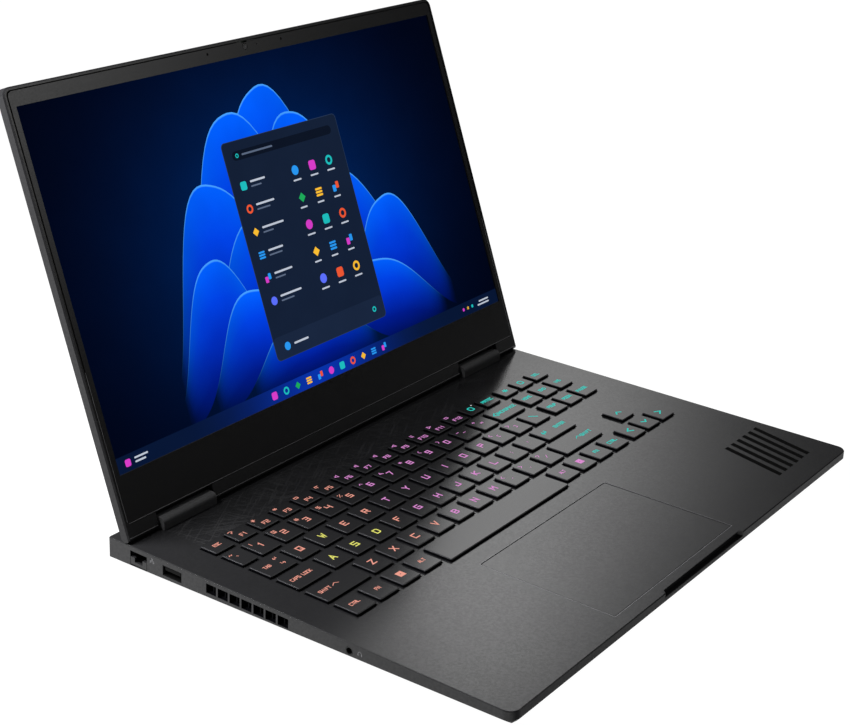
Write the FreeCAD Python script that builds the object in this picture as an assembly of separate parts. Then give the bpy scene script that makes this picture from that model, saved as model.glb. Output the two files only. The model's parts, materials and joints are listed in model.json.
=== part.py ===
import FreeCAD, Part
import math
import os

# Laptop computer, standing open on a table, in millimetres.
# X points to the user's right, Y to the back and Z up.
# The origin is the middle of the rear foot's underside, on the table.

# Base shell
REAR_FOOT_INSET = 21.7
DECK_HEIGHT = 15.9
FOOT_HEIGHT = 1.6
REAR_FLANK = 2.6
FRONT_WALL = 4.85
FLANK_RUN = 1.6
CORNER_RADIUS = 6.0
REAR_CORNER = 1.0
DECK_SKIN = 1.6
WALL_SKIN = 1.6
FLOOR_SKIN = 1.4
DECK_EDGE = 0.5
SEAT = 0.1
SLIDE_GAP = 0.3

# Finger notch in the front edge
NOTCH_LENGTH = 88.4
NOTCH_DEPTH = 2.5
NOTCH_HEIGHT = 2.8
NOTCH_BACKING = 1.6

# Lid and hinge
OPEN_ANGLE = 110.5
FULL_ANGLE = 135.0
HINGE_Y = 9.0
HINGE_RISE = 3.5
LID_GAP = 1.24
LID_THICKNESS = 6.4
LID_SETBACK = 3.4
LIP_REACH = 3.0
LIP_CLEARANCE = 0.35
LIP_CHAMFER = 1.2
LID_SKIN = 1.2
LID_RIM = 1.8
LID_CORNER = 5.0
LID_EDGE = 0.8

# Knuckles that cover the hinges
KNUCKLE_INSET = 24.0
KNUCKLE_LENGTH = 41.0
KNUCKLE_FRONT = 5.2
KNUCKLE_BACK = 4.0
KNUCKLE_HEIGHT = 6.7
KNUCKLE_ROUND = 3.2
KNUCKLE_SKIN = 0.9
KNUCKLE_END_GAP = 1.5
KNUCKLE_CLEARANCE = 0.35
KNUCKLE_BACK_CLEARANCE = 0.6
SHAFT_RADIUS = 1.4
SHAFT_RUNNING = 0.05
EYE_WALL = 0.85
EYE_LENGTH = 6.0
TANG_THICKNESS = 1.6
TANG_LENGTH = 11.0
LEAF_THICKNESS = 1.4
LEAF_WIDTH = 54.0
LEAF_TOP = 22.0
BRACKET_THICKNESS = 1.6
BRACKET_FRONT = 19.0

# Screen
SCREEN_WIDTH = 356.4
SCREEN_HEIGHT = 200.5
CHIN_LINE = 6.04
SCREEN_START = 32.1
SCREEN_SIDE_BORDER = 6.3
SCREEN_TOP_BORDER = 10.7
GROOVE = 0.5
CHIN_GROOVE = 0.2
BEZEL_SINK = 0.2
BEZEL_THICKNESS = 1.1
PANEL_THICKNESS = 1.0
PANEL_BORDER = 2.0
PANEL_CHIN = 8.0

# Camera strip above the screen
CAMERA_X = -1.5
CAMERA_RISE = 5.3
CAMERA_HOLE = 2.0
CAMERA_BARREL = 2.2
LENS_RADIUS = 1.5
LENS_THICKNESS = 0.4
CAMERA_BOARD = 90.0
CAMERA_BOARD_HEIGHT = 5.4
CAMERA_BOARD_THICKNESS = 0.8
MICROPHONE_SPAN = 64.4
MICROPHONE_HOLE = 0.5
MICROPHONE_SIZE = 2.6
SHUTTER_THICKNESS = 0.35
SHUTTER_PLAY = 0.1
SHUTTER_TRAVEL = 5.0
SHUTTER_TAB = 5.5
SHUTTER_TAB_HEIGHT = 0.8

# Keyboard
KEYS_LEFT_INSET = 21.2
KEYS_RIGHT_INSET = 25.6
NAV_SPACE = 6.4
KEYS_FRONT = -131.3
NAV_PITCH = 18.0
ROW_PITCH = 18.95
CAP_SPACE = 3.7
FUNCTION_DEPTH = 11.4
FUNCTION_COUNT = 15
NAV_COUNT = 3
BOTTOM_LEFT_COUNT = 4
BOTTOM_RIGHT_COUNT = 4
LOWER_COUNT = 10
HOME_COUNT = 11
UPPER_COUNT = 12
NUMBER_COUNT = 12
GRAVE_WIDTH = 11.3
TAB_WIDTH = 20.9
CAPS_WIDTH = 25.2
SHIFT_WIDTH = 34.5
BACKSPACE_WIDTH = 26.1
SPACE_EXTRA = 3.2
CAP_GAP = 0.45
CAP_PROUD = 1.6
CAP_HEIGHT = 2.8
CAP_CORNER = 0.8
CAP_BEVEL = 0.4
KEY_TRAVEL = 1.4
KEY_REST = 0.4
DOME_RADIUS = 3.0
DOME_TOP = 2.0
PLATE_THICKNESS = 0.8
PLATE_MARGIN = 3.5
PLATE_RIM = 2.0

# Touchpad
TOUCH_X = -17.5
TOUCH_FRONT_INSET = 8.65
TOUCH_KEY_SPACE = 13.25
TOUCH_WIDTH = 126.0
TOUCH_GAP = 0.35
TOUCH_SINK = 0.15
TOUCH_THICKNESS = 1.6
TOUCH_CORNER = 1.0
TOUCH_PRESS = 0.45
TOUCH_BEVEL = 0.15
TRAY_THICKNESS = 1.0
TRAY_MARGIN = 3.0
TRAY_DROP = 0.75
TRAY_BAR = 5.0
SWITCH_SIZE = 6.0

# Inlays on the palm rest
INLAY_SIDE_INSET = 62.5
INLAY_FRONT_INSET = 15.7
INLAY_COUNT = 6
INLAY_PITCH = 7.6
INLAY_BAR = 3.8
INLAY_HEIGHT = 42.0
INLAY_SLANT = 12.0
INLAY_SINK = 0.5

# Sockets in the left and right walls
ETHERNET_Y = -0.75
ETHERNET_OPENING = 12.3
ETHERNET_TOP = 2.5
ETHERNET_SLOT = 3.5
SIDE_BOARD_RISE = 1.5
ETHERNET_DEPTH = 13.0
JACK_WALL = 1.6
JAW_SILL = 1.4
JAW_THICKNESS = 1.5
JAW_PIN = 0.4
JAW_PIN_LENGTH = 1.0
JAW_AXIS_RISE = 0.6
JAW_MOUTH = 5.8
JAW_MOUTH_DEPTH = 2.6
USB_Y = -25.1
USB_WIDTH = 12.5
USB_HEIGHT = 4.9
USB_TOP = 3.3
USB_DEPTH = 14.0
USB_SHELL = 0.4
USB_TONGUE = 1.9
AUDIO_Y = -143.0
AUDIO_DROP = 4.6
AUDIO_BORE = 1.8
AUDIO_NOSE = 2.2
AUDIO_LENGTH = 14.0
AUDIO_BODY = 5.6
AUDIO_SETBACK = 1.6

# Air outlets
VENT_Y = -76.8
VENT_COUNT = 7
VENT_PITCH = 8.05
VENT_WIDTH = 6.9
VENT_TOP = 2.2
VENT_SILL = 0.75
REAR_VENT_INSET = 54.5
REAR_VENT_COUNT = 8
REAR_VENT_TOP = 4.6
REAR_VENT_SILL = 1.5

# Sockets in the rear wall
DC_INSET = 14.0
DC_RADIUS = 2.75
DC_PIN = 0.6
DC_BODY = 6.9
HDMI_X = 24.0
HDMI_WIDTH = 14.0
HDMI_HEIGHT = 4.6
USB_C_X = -14.0
USB_C_PITCH = 22.0
USB_C_WIDTH = 8.4
USB_C_HEIGHT = 2.7
REAR_SOCKET_DEPTH = 11.0
SOCKET_SHELL = 0.5
SOCKET_TONGUE = 0.8

# Works inside the base
BOARD_THICKNESS = 1.2
BOARD_HALF = 90.0
BOARD_FAN_SPACE = 3.8
BOARD_FRONT = -136.0
BOARD_STEP_Y = -2.0
BOARD_STEP_X = 18.0
STANDOFF_RADIUS = 2.5
CHIP_SIZE = 36.0
CHIP_THICKNESS = 1.6
CHIP_X = 33.0
CHIP_Y = -60.0
PIPE_WIDTH = 9.0
PIPE_THICKNESS = 2.6
PIPE_TOP_SPACE = 0.7
PIPE_Y = 0.5
STACK_DEPTH = 13.0
STACK_TOP_SPACE = 2.7
STACK_HEIGHT = 4.4
STACK_FIN = 0.8
STACK_PLATE = 0.6
FAN_TOP_SPACE = 0.9
FAN_LEG = 1.2
FAN_WALL = 0.9
FAN_INLET_RIM = 13.0
FAN_PIN = 1.5
FAN_HUB = 11.0
FAN_BLADE_SPACE = 6.0
FAN_BLADES = 23
FAN_BLADE = 0.9
FAN_END_GAP = 0.4
FAN_STACK_GAP = 2.0
MODULE_WIDTH = 69.6
MODULE_DEPTH = 30.0
MODULE_LIFT = 0.8
MODULE_PITCH = 2.0
SSD_WIDTH = 22.0
SSD_LENGTH = 80.0
SSD_THICKNESS = 2.2
SSD_INSET = 23.0
WIFI_LENGTH = 30.0
WIFI_THICKNESS = 1.6
WIFI_INSET = 21.0
CARD_SOCKET = 5.0
CARD_END_Y = -100.0
BATTERY_SIDE_INSET = 76.5
BATTERY_FRONT_INSET = 23.7
BATTERY_BOARD_SPACE = 8.0
BATTERY_HEIGHT = 6.4
BATTERY_CELLS = 6
BATTERY_GROOVE = 0.6
SPEAKER_SIDE_INSET = 42.5
SPEAKER_FRONT_INSET = 47.7
SPEAKER_WIDTH = 40.0
SPEAKER_DEPTH = 40.0
SPEAKER_HEIGHT = 6.0
SPEAKER_CONE = 12.0

# Screws and feet
BOSS_RADIUS = 2.6
SCREW_RADIUS = 1.0
SCREW_HEAD = 2.2
SCREW_HEAD_HEIGHT = 0.8
SCREW_CROSS = 2.6
SCREW_CROSS_WIDTH = 0.6
SCREW_CROSS_DEPTH = 0.5
SCREW_LENGTH = 9.0
SCREW_CORNER_INSET = 12.5
SCREW_REAR_INSET = 8.7
SCREW_MIDDLE_INSET = 102.5
SCREW_SIDE_INSET = 15.2
SCREW_FAN_SPACE = 4.2
SCREW_PALM_INSET = 66.5
SCREW_FRONT_INSET = 21.2
FOOT_WIDTH = 8.0
FOOT_ROUND = 3.0
REAR_FOOT_END = 64.5
FRONT_FOOT_END = 79.5
FRONT_FOOT_INSET = 29.7
INTAKE_COUNT = 8
INTAKE_PITCH = 7.0
INTAKE_WIDTH = 3.0
INTAKE_END = 11.0

# Levels and edges that several pieces share
BASE_WIDTH = SCREEN_WIDTH + 2 * SCREEN_SIDE_BORDER
HALF_WIDTH = BASE_WIDTH / 2
CAMERA_REACH = SCREEN_START + SCREEN_HEIGHT + CAMERA_RISE
LID_REACH = SCREEN_START + SCREEN_HEIGHT + SCREEN_TOP_BORDER
REAR_Y = REAR_FOOT_INSET
FRONT_Y = HINGE_Y - LID_REACH - LID_SETBACK
BASE_DEPTH = REAR_Y - FRONT_Y
DECK_UNDER = DECK_HEIGHT - DECK_SKIN
FLOOR_TOP = FOOT_HEIGHT + FLOOR_SKIN
WALL_INNER = HALF_WIDTH - WALL_SKIN
REAR_INNER = REAR_Y - WALL_SKIN
FRONT_WAIST = DECK_HEIGHT - FRONT_WALL
REAR_WAIST = FOOT_HEIGHT + REAR_FLANK
REAR_WALL = DECK_HEIGHT - REAR_WAIST
WAIST_FALL = (REAR_WALL - FRONT_WALL) / BASE_DEPTH
HINGE_Z = DECK_HEIGHT + HINGE_RISE
LID_FACE = DECK_HEIGHT + LID_GAP
LID_BACK = LID_FACE + LID_THICKNESS
LID_FLOOR = LID_BACK - LID_SKIN
LID_TOP_Y = HINGE_Y - LID_REACH
LIP_Y = HINGE_Y + LIP_REACH
CHIN_Y = HINGE_Y - CHIN_LINE
BEZEL_FACE = LID_FACE + BEZEL_SINK
BEZEL_BACK = BEZEL_FACE + BEZEL_THICKNESS
PANEL_BACK = BEZEL_BACK + PANEL_THICKNESS
POCKET_HALF = HALF_WIDTH - LID_RIM
POCKET_TOP_Y = LID_TOP_Y + LID_RIM
SCREEN_BOTTOM_Y = HINGE_Y - SCREEN_START
SCREEN_TOP_Y = SCREEN_BOTTOM_Y - SCREEN_HEIGHT
KNUCKLE_OUTER = HALF_WIDTH - KNUCKLE_INSET
KNUCKLE_INNER = KNUCKLE_OUTER - KNUCKLE_LENGTH
CAP_TOP = DECK_HEIGHT + CAP_PROUD
CAP_BOTTOM = CAP_TOP - CAP_HEIGHT
PLATE_TOP = CAP_BOTTOM - KEY_TRAVEL - KEY_REST
PLATE_BOTTOM = PLATE_TOP - PLATE_THICKNESS
KEYS_LEFT = KEYS_LEFT_INSET - HALF_WIDTH
NAV_RIGHT = HALF_WIDTH - KEYS_RIGHT_INSET
NAV_LEFT = NAV_RIGHT + CAP_SPACE - NAV_COUNT * NAV_PITCH
BLOCK_RIGHT = NAV_LEFT - NAV_SPACE
KEY_PITCH = (BLOCK_RIGHT - BACKSPACE_WIDTH - KEYS_LEFT - GRAVE_WIDTH - CAP_SPACE) / NUMBER_COUNT
CAP_WIDTH = KEY_PITCH - CAP_SPACE
NAV_WIDTH = NAV_PITCH - CAP_SPACE
CAP_DEPTH = ROW_PITCH - CAP_SPACE
FUNCTION_FRONT = KEYS_FRONT + 5 * ROW_PITCH
KEYS_BACK = FUNCTION_FRONT + FUNCTION_DEPTH
TOUCH_FRONT = FRONT_Y + TOUCH_FRONT_INSET
TOUCH_REAR = KEYS_FRONT - SPACE_EXTRA - TOUCH_KEY_SPACE
TOUCH_DEPTH = TOUCH_REAR - TOUCH_FRONT
TOUCH_Y = (TOUCH_FRONT + TOUCH_REAR) / 2
TOUCH_TOP = DECK_HEIGHT - TOUCH_SINK
TOUCH_BOTTOM = TOUCH_TOP - TOUCH_THICKNESS
TRAY_TOP = TOUCH_BOTTOM - TRAY_DROP
PIPE_BOTTOM = PLATE_BOTTOM - PIPE_TOP_SPACE - PIPE_THICKNESS
BOARD_TOP = PIPE_BOTTOM - CHIP_THICKNESS
BOARD_BOTTOM = BOARD_TOP - BOARD_THICKNESS
INLAY_X = HALF_WIDTH - INLAY_SIDE_INSET
INLAY_Y = FRONT_Y + INLAY_FRONT_INSET
REAR_VENT_X = HALF_WIDTH - REAR_VENT_INSET
REAR_VENT_HEIGHT = DECK_HEIGHT - REAR_VENT_TOP - REAR_WAIST - REAR_VENT_SILL
SIDE_STACK_OUTER = WALL_INNER - SEAT
SIDE_STACK_INNER = SIDE_STACK_OUTER - STACK_DEPTH
FAN_OUTER = SIDE_STACK_INNER - FAN_STACK_GAP
FAN_SIZE = FAN_OUTER - BOARD_HALF - BOARD_FAN_SPACE
FAN_X = FAN_OUTER - FAN_SIZE / 2
FAN_INLET = FAN_SIZE / 2 - FAN_INLET_RIM
FAN_RADIUS = FAN_SIZE / 2 - FAN_BLADE_SPACE
INTAKE_LENGTH = FAN_SIZE - 2 * INTAKE_END
FAN_BOTTOM = FLOOR_TOP + FAN_LEG
FAN_HEIGHT = PLATE_BOTTOM - FAN_TOP_SPACE - FAN_BOTTOM
BOARD_NECK = BOARD_HALF - BOARD_STEP_X
DC_X = BOARD_NECK - DC_INSET
SSD_X = BOARD_HALF - SSD_INSET
WIFI_X = WIFI_INSET - BOARD_HALF
BATTERY_HALF = HALF_WIDTH - BATTERY_SIDE_INSET
BATTERY_FRONT = FRONT_Y + BATTERY_FRONT_INSET
BATTERY_BACK = BOARD_FRONT - BATTERY_BOARD_SPACE
SPEAKER_X = HALF_WIDTH - SPEAKER_SIDE_INSET
SPEAKER_Y = FRONT_Y + SPEAKER_FRONT_INSET
REAR_FOOT_HALF = HALF_WIDTH - REAR_FOOT_END
FRONT_FOOT_HALF = HALF_WIDTH - FRONT_FOOT_END
FRONT_FOOT_Y = FRONT_Y + FRONT_FOOT_INSET
ETHERNET_CEILING = DECK_HEIGHT - ETHERNET_TOP
SIDE_BOARD_TOP = FLOOR_TOP + SIDE_BOARD_RISE + BOARD_THICKNESS
ETHERNET_CAVITY = ETHERNET_CEILING - SIDE_BOARD_TOP - JACK_WALL / 2
JAW_TOP = ETHERNET_CEILING - ETHERNET_SLOT
JAW_BOTTOM = REAR_WAIST + JAW_SILL
USB_CEILING = DECK_HEIGHT - USB_TOP
AUDIO_Z = DECK_HEIGHT - AUDIO_DROP


def vec(x, y, z):
    return FreeCAD.Vector(x, y, z)


def box(x0, x1, y0, y1, z0, z1):
    return Part.makeBox(x1 - x0, y1 - y0, z1 - z0, vec(x0, y0, z0))


def around(middle, width):
    """Low and high edge of a span about its middle."""
    return middle - width / 2, middle + width / 2


def slab(x0, x1, y0, y1, z0, z1, radius):
    """Box with rounded upright edges."""
    body = box(x0, x1, y0, y1, z0, z1)
    upright = [edge for edge in body.Edges if edge.BoundBox.ZLength > (z1 - z0) / 2]
    return body.makeFillet(radius, upright)


def edges_at(body, z):
    """Edges of a body that lie at one height."""
    near = SEAT / 100
    return [e for e in body.Edges if abs(e.BoundBox.ZMin - z) < near and abs(e.BoundBox.ZMax - z) < near]


def disc(x, y, z0, z1, radius):
    return Part.makeCylinder(radius, z1 - z0, vec(x, y, z0))


def rod_x(x0, x1, y, z, radius):
    return Part.makeCylinder(radius, x1 - x0, vec(x0, y, z), vec(1, 0, 0))


def rod_y(y0, y1, x, z, radius):
    return Part.makeCylinder(radius, y1 - y0, vec(x, y0, z), vec(0, 1, 0))


def prism(points, along):
    """Solid swept from a polygon."""
    outline = [vec(*p) for p in points]
    return Part.Face(Part.makePolygon(outline + outline[:1])).extrude(vec(*along))


def join(shapes):
    return shapes[0].multiFuse(shapes[1:]).removeSplitter()


def mirrored(shape):
    """Copy on the other side of the middle plane."""
    return shape.mirror(vec(0, 0, 0), vec(1, 0, 0))


def both_sides(shape):
    return Part.makeCompound([mirrored(shape), shape])


def beyond(point, normal):
    """Block that fills the space past a plane."""
    reach = 2 * BASE_WIDTH
    block = Part.makeBox(reach, reach, reach, vec(-reach / 2, -reach / 2, 0))
    block.Placement = FreeCAD.Placement(point, FreeCAD.Rotation(vec(0, 0, 1), normal))
    return block


def opened(shape):
    """Lid piece, drawn closed, turned to its open rest angle."""
    turned = shape.copy()
    turned.rotate(vec(0, HINGE_Y, HINGE_Z), vec(1, 0, 0), -OPEN_ANGLE)
    return turned


def centred_row(count, pitch, middle):
    """Centres of equally spaced things about a middle."""
    return [middle + (i - (count - 1) / 2) * pitch for i in range(count)]


def waist(y):
    """Height of the line where the side walls meet the underside's flanks."""
    return FRONT_WAIST - WAIST_FALL * (y - FRONT_Y)


def flank_cuts(skin):
    """Blocks outside the four sloping flanks, moved in by a skin."""
    along = FLANK_RUN * WAIST_FALL
    planes = (
        (vec(-HALF_WIDTH, FRONT_Y, FRONT_WAIST), vec(-1, -along, -FLANK_RUN)),
        (vec(HALF_WIDTH, FRONT_Y, FRONT_WAIST), vec(1, -along, -FLANK_RUN)),
        (vec(0, FRONT_Y, FRONT_WAIST), vec(0, -1, -FLANK_RUN)),
        (vec(0, REAR_Y, REAR_WAIST), vec(0, 1, -FLANK_RUN)),
    )
    return [beyond(point - normal.normalize() * skin, normal) for point, normal in planes]


def base_shell():
    outer = slab(-HALF_WIDTH, HALF_WIDTH, FRONT_Y, REAR_Y, FOOT_HEIGHT, DECK_HEIGHT, CORNER_RADIUS)
    rear = slab(-HALF_WIDTH, HALF_WIDTH, REAR_Y - 2 * CORNER_RADIUS, REAR_Y, FOOT_HEIGHT, DECK_HEIGHT, REAR_CORNER)
    outer = join([outer, rear])
    outer = outer.makeChamfer(DECK_EDGE, edges_at(outer, DECK_HEIGHT)).cut(flank_cuts(0))
    inner = slab(-WALL_INNER, WALL_INNER, FRONT_Y + WALL_SKIN, REAR_INNER, FLOOR_TOP, DECK_UNDER,
                 CORNER_RADIUS - WALL_SKIN).cut(flank_cuts(FLOOR_SKIN))
    return outer.cut(inner)


def below_waist():
    return beyond(vec(0, FRONT_Y, FRONT_WAIST), vec(0, -WAIST_FALL, -1))


def cavity_half(y, z):
    """Half width of the room inside the base at one place and height."""
    slope = math.sqrt(1 + FLANK_RUN ** 2 * (1 + WAIST_FALL ** 2))
    return min(WALL_INNER, HALF_WIDTH - FLANK_RUN * (waist(y) - z) - FLOOR_SKIN * slope)


def screw_places():
    """Screws in mirrored pairs: rear corners, rear middle, flanks and palm rest."""
    rear_y = REAR_Y - SCREW_REAR_INSET
    pairs = (
        (HALF_WIDTH - SCREW_CORNER_INSET, rear_y),
        (HALF_WIDTH - SCREW_MIDDLE_INSET, rear_y),
        (HALF_WIDTH - SCREW_SIDE_INSET, VENT_Y - FAN_SIZE / 2 - SCREW_FAN_SPACE),
        (HALF_WIDTH - SCREW_PALM_INSET, FRONT_Y + SCREW_FRONT_INSET),
    )
    return [(side * x, y) for x, y in pairs for side in (-1, 1)]


# Keyboard layout

def run(start, widths):
    """Spans of caps laid side by side from a left edge."""
    spans = []
    for width in widths:
        spans.append((start, start + width))
        start += width + CAP_SPACE
    return spans


def row_front(row):
    """Front edge of a row, counted from the space bar's row."""
    return KEYS_FRONT + row * ROW_PITCH


def row_caps(first_width, count, right_edge):
    """A wide first cap, a run of letter caps, and a last cap that fills up to an edge."""
    spans = run(KEYS_LEFT, [first_width] + [CAP_WIDTH] * count)
    return spans + [(spans[-1][1] + CAP_SPACE, right_edge)]


def caps_by_node():
    """Every cap's rectangle, grouped by the node that holds it."""
    nodes = {}

    def put(node, span, front, depth):
        nodes.setdefault(node, []).append((span[0], span[1], front, front + depth))

    nav = run(NAV_LEFT, [NAV_WIDTH] * NAV_COUNT)

    function_width = (BLOCK_RIGHT - KEYS_LEFT + CAP_SPACE) / FUNCTION_COUNT - CAP_SPACE
    function = run(KEYS_LEFT, [function_width] * FUNCTION_COUNT)
    put("key_esc", function[0], FUNCTION_FRONT, FUNCTION_DEPTH)
    put("key_power", function[-2], FUNCTION_FRONT, FUNCTION_DEPTH)
    for span in function[1:-2] + function[-1:] + nav:
        put("keys_function_row", span, FUNCTION_FRONT, FUNCTION_DEPTH)

    number = row_caps(GRAVE_WIDTH, NUMBER_COUNT, BLOCK_RIGHT)
    put("key_backspace", number[-1], row_front(4), CAP_DEPTH)
    for span in number[:-1] + nav:
        put("keys_number_row", span, row_front(4), CAP_DEPTH)

    upper = row_caps(TAB_WIDTH, UPPER_COUNT, BLOCK_RIGHT)
    put("key_tab", upper[0], row_front(3), CAP_DEPTH)
    for span in upper[1:] + nav:
        put("keys_upper_row", span, row_front(3), CAP_DEPTH)

    home = row_caps(CAPS_WIDTH, HOME_COUNT, BLOCK_RIGHT)
    put("key_caps_lock", home[0], row_front(2), CAP_DEPTH)
    put("key_enter", home[-1], row_front(2), CAP_DEPTH)
    for span in home[1:-1]:
        put("keys_home_row", span, row_front(2), CAP_DEPTH)

    lower = row_caps(SHIFT_WIDTH, LOWER_COUNT, BLOCK_RIGHT)
    put("key_shift_left", lower[0], row_front(1), CAP_DEPTH)
    put("key_shift_right", lower[-1], row_front(1), CAP_DEPTH)
    put("key_arrow_up", nav[1], row_front(1), CAP_DEPTH)
    for span in lower[1:-1]:
        put("keys_lower_row", span, row_front(1), CAP_DEPTH)

    left = run(KEYS_LEFT, [CAP_WIDTH] * BOTTOM_LEFT_COUNT)
    right = run(BLOCK_RIGHT - BOTTOM_RIGHT_COUNT * KEY_PITCH + CAP_SPACE, [CAP_WIDTH] * BOTTOM_RIGHT_COUNT)
    space = (left[-1][1] + CAP_SPACE, right[0][0] - CAP_SPACE)
    put("key_space", space, row_front(0) - SPACE_EXTRA, CAP_DEPTH + SPACE_EXTRA)
    for node, span in zip(("key_arrow_left", "key_arrow_down", "key_arrow_right"), nav):
        put(node, span, row_front(0), CAP_DEPTH)
    for span in left + right:
        put("keys_bottom_row", span, row_front(0), CAP_DEPTH)
    return nodes


def cap(x0, x1, y0, y1):
    body = slab(x0, x1, y0, y1, CAP_BOTTOM, CAP_TOP, CAP_CORNER)
    return body.makeChamfer(CAP_BEVEL, edges_at(body, CAP_TOP))


def dome(x0, x1, y0, y1):
    middle = vec((x0 + x1) / 2, (y0 + y1) / 2, PLATE_TOP)
    return Part.makeCone(DOME_RADIUS, DOME_TOP, CAP_BOTTOM - PLATE_TOP, middle)


def plate_box(shrink, z0, z1):
    grow = PLATE_MARGIN - shrink
    return box(KEYS_LEFT - grow, NAV_RIGHT + grow, KEYS_FRONT - SPACE_EXTRA - grow, KEYS_BACK + grow, z0, z1)


def key_openings(caps):
    grown = []
    for x0, x1, y0, y1 in caps:
        grown.append(box(x0 - CAP_GAP, x1 + CAP_GAP, y0 - CAP_GAP, y1 + CAP_GAP, PLATE_TOP, CAP_TOP))
    return grown


# Base pieces

def touch_box(grow, z0, z1):
    half_w = TOUCH_WIDTH / 2 + grow
    half_d = TOUCH_DEPTH / 2 + grow
    return slab(TOUCH_X - half_w, TOUCH_X + half_w, TOUCH_Y - half_d, TOUCH_Y + half_d, z0, z1,
                TOUCH_CORNER + max(grow, 0))


def touchpad():
    body = touch_box(0, TOUCH_BOTTOM, TOUCH_TOP)
    return body.makeChamfer(TOUCH_BEVEL, edges_at(body, TOUCH_TOP))


def inlay_bars(gap, z0, z1):
    """Slanted bars of the palm rest's inlay, all alike."""
    bars = []
    for i in range(INLAY_COUNT):
        x0 = INLAY_X + i * INLAY_PITCH - gap
        x1 = INLAY_X + i * INLAY_PITCH + INLAY_BAR + gap
        y0 = INLAY_Y - gap
        y1 = INLAY_Y + INLAY_HEIGHT + gap
        outline = [(x0, y0, z0), (x1, y0, z0), (x1 + INLAY_SLANT, y1, z0), (x0 + INLAY_SLANT, y1, z0)]
        bars.append(prism(outline, (0, 0, z1 - z0)))
    return bars


def side_vents():
    """Square air outlets through the left wall."""
    z0 = waist(VENT_Y - VENT_COUNT * VENT_PITCH / 2) + VENT_SILL
    z1 = DECK_HEIGHT - VENT_TOP
    x0 = -HALF_WIDTH - SEAT
    return [box(x0, -WALL_INNER + SEAT, *around(y, VENT_WIDTH), z0, z1)
            for y in centred_row(VENT_COUNT, VENT_PITCH, VENT_Y)]


def rear_vents():
    """Air outlets through the rear wall, right side."""
    z1 = DECK_HEIGHT - REAR_VENT_TOP
    z0 = z1 - REAR_VENT_HEIGHT
    return [box(*around(x, VENT_WIDTH), REAR_INNER - SEAT, REAR_Y + SEAT, z0, z1)
            for x in centred_row(REAR_VENT_COUNT, VENT_PITCH, REAR_VENT_X)]


def usb_window(grow, x0, x1):
    half = USB_WIDTH / 2 + grow
    return box(x0, x1, USB_Y - half, USB_Y + half, USB_CEILING - USB_HEIGHT - grow, USB_CEILING + grow)


def ethernet_window():
    """Cut for the socket and its jaw, open at the wall's lower edge."""
    half = ETHERNET_OPENING / 2
    y0 = ETHERNET_Y - half
    return box(-HALF_WIDTH - SEAT, -WALL_INNER + SEAT, y0, ETHERNET_Y + half, REAR_WAIST, ETHERNET_CEILING)


def jaw_axis():
    """Where the jaw's pins lie: the middle of the wall, just above the jaw's lower edge."""
    return -HALF_WIDTH + JAW_THICKNESS / 2, JAW_BOTTOM + JAW_AXIS_RISE


def rear_sockets():
    """Middle, width and height of each socket in the rear wall."""
    sockets = [(HDMI_X, HDMI_WIDTH, HDMI_HEIGHT)]
    for x in centred_row(2, USB_C_PITCH, USB_C_X):
        sockets.append((x, USB_C_WIDTH, USB_C_HEIGHT))
    return sockets


def socket_middle(height):
    return BOARD_TOP + SOCKET_SHELL + height / 2


def rear_windows():
    cuts = []
    for x, width, height in rear_sockets():
        half = width / 2 + SOCKET_SHELL + SEAT
        z0 = BOARD_TOP - SEAT
        cuts.append(box(x - half, x + half, REAR_INNER - SEAT, REAR_Y + SEAT, z0,
                        BOARD_TOP + height + 2 * SOCKET_SHELL + SEAT))
    dc_z = BOARD_TOP + DC_BODY / 2
    cuts.append(rod_y(REAR_INNER - SEAT, REAR_Y + SEAT, DC_X, dc_z, DC_RADIUS + SOCKET_SHELL))
    return cuts


def eye_starts():
    """Inner ends of a hinge bracket's two eyes."""
    margin = KNUCKLE_SKIN + EYE_LENGTH
    return KNUCKLE_INNER + margin, KNUCKLE_OUTER - margin - EYE_LENGTH


def post_cuts():
    """Slots in the deck for the hinge posts, right side."""
    half = SHAFT_RADIUS + SHAFT_RUNNING + EYE_WALL + SEAT
    return [box(x - SEAT, x + EYE_LENGTH + SEAT, HINGE_Y - half, HINGE_Y + half, DECK_UNDER - SEAT,
                DECK_HEIGHT + SEAT) for x in eye_starts()]


def finger_notch():
    """Scoop with slanted ends in the front edge."""
    half = NOTCH_LENGTH / 2
    lean = NOTCH_DEPTH
    y0 = FRONT_Y - SEAT
    y1 = FRONT_Y + NOTCH_DEPTH
    z0 = DECK_HEIGHT - NOTCH_HEIGHT
    outline = [(-half, y0, z0), (half, y0, z0), (half - lean, y1, z0), (lean - half, y1, z0)]
    return prism(outline, (0, 0, NOTCH_HEIGHT + SEAT))


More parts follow.
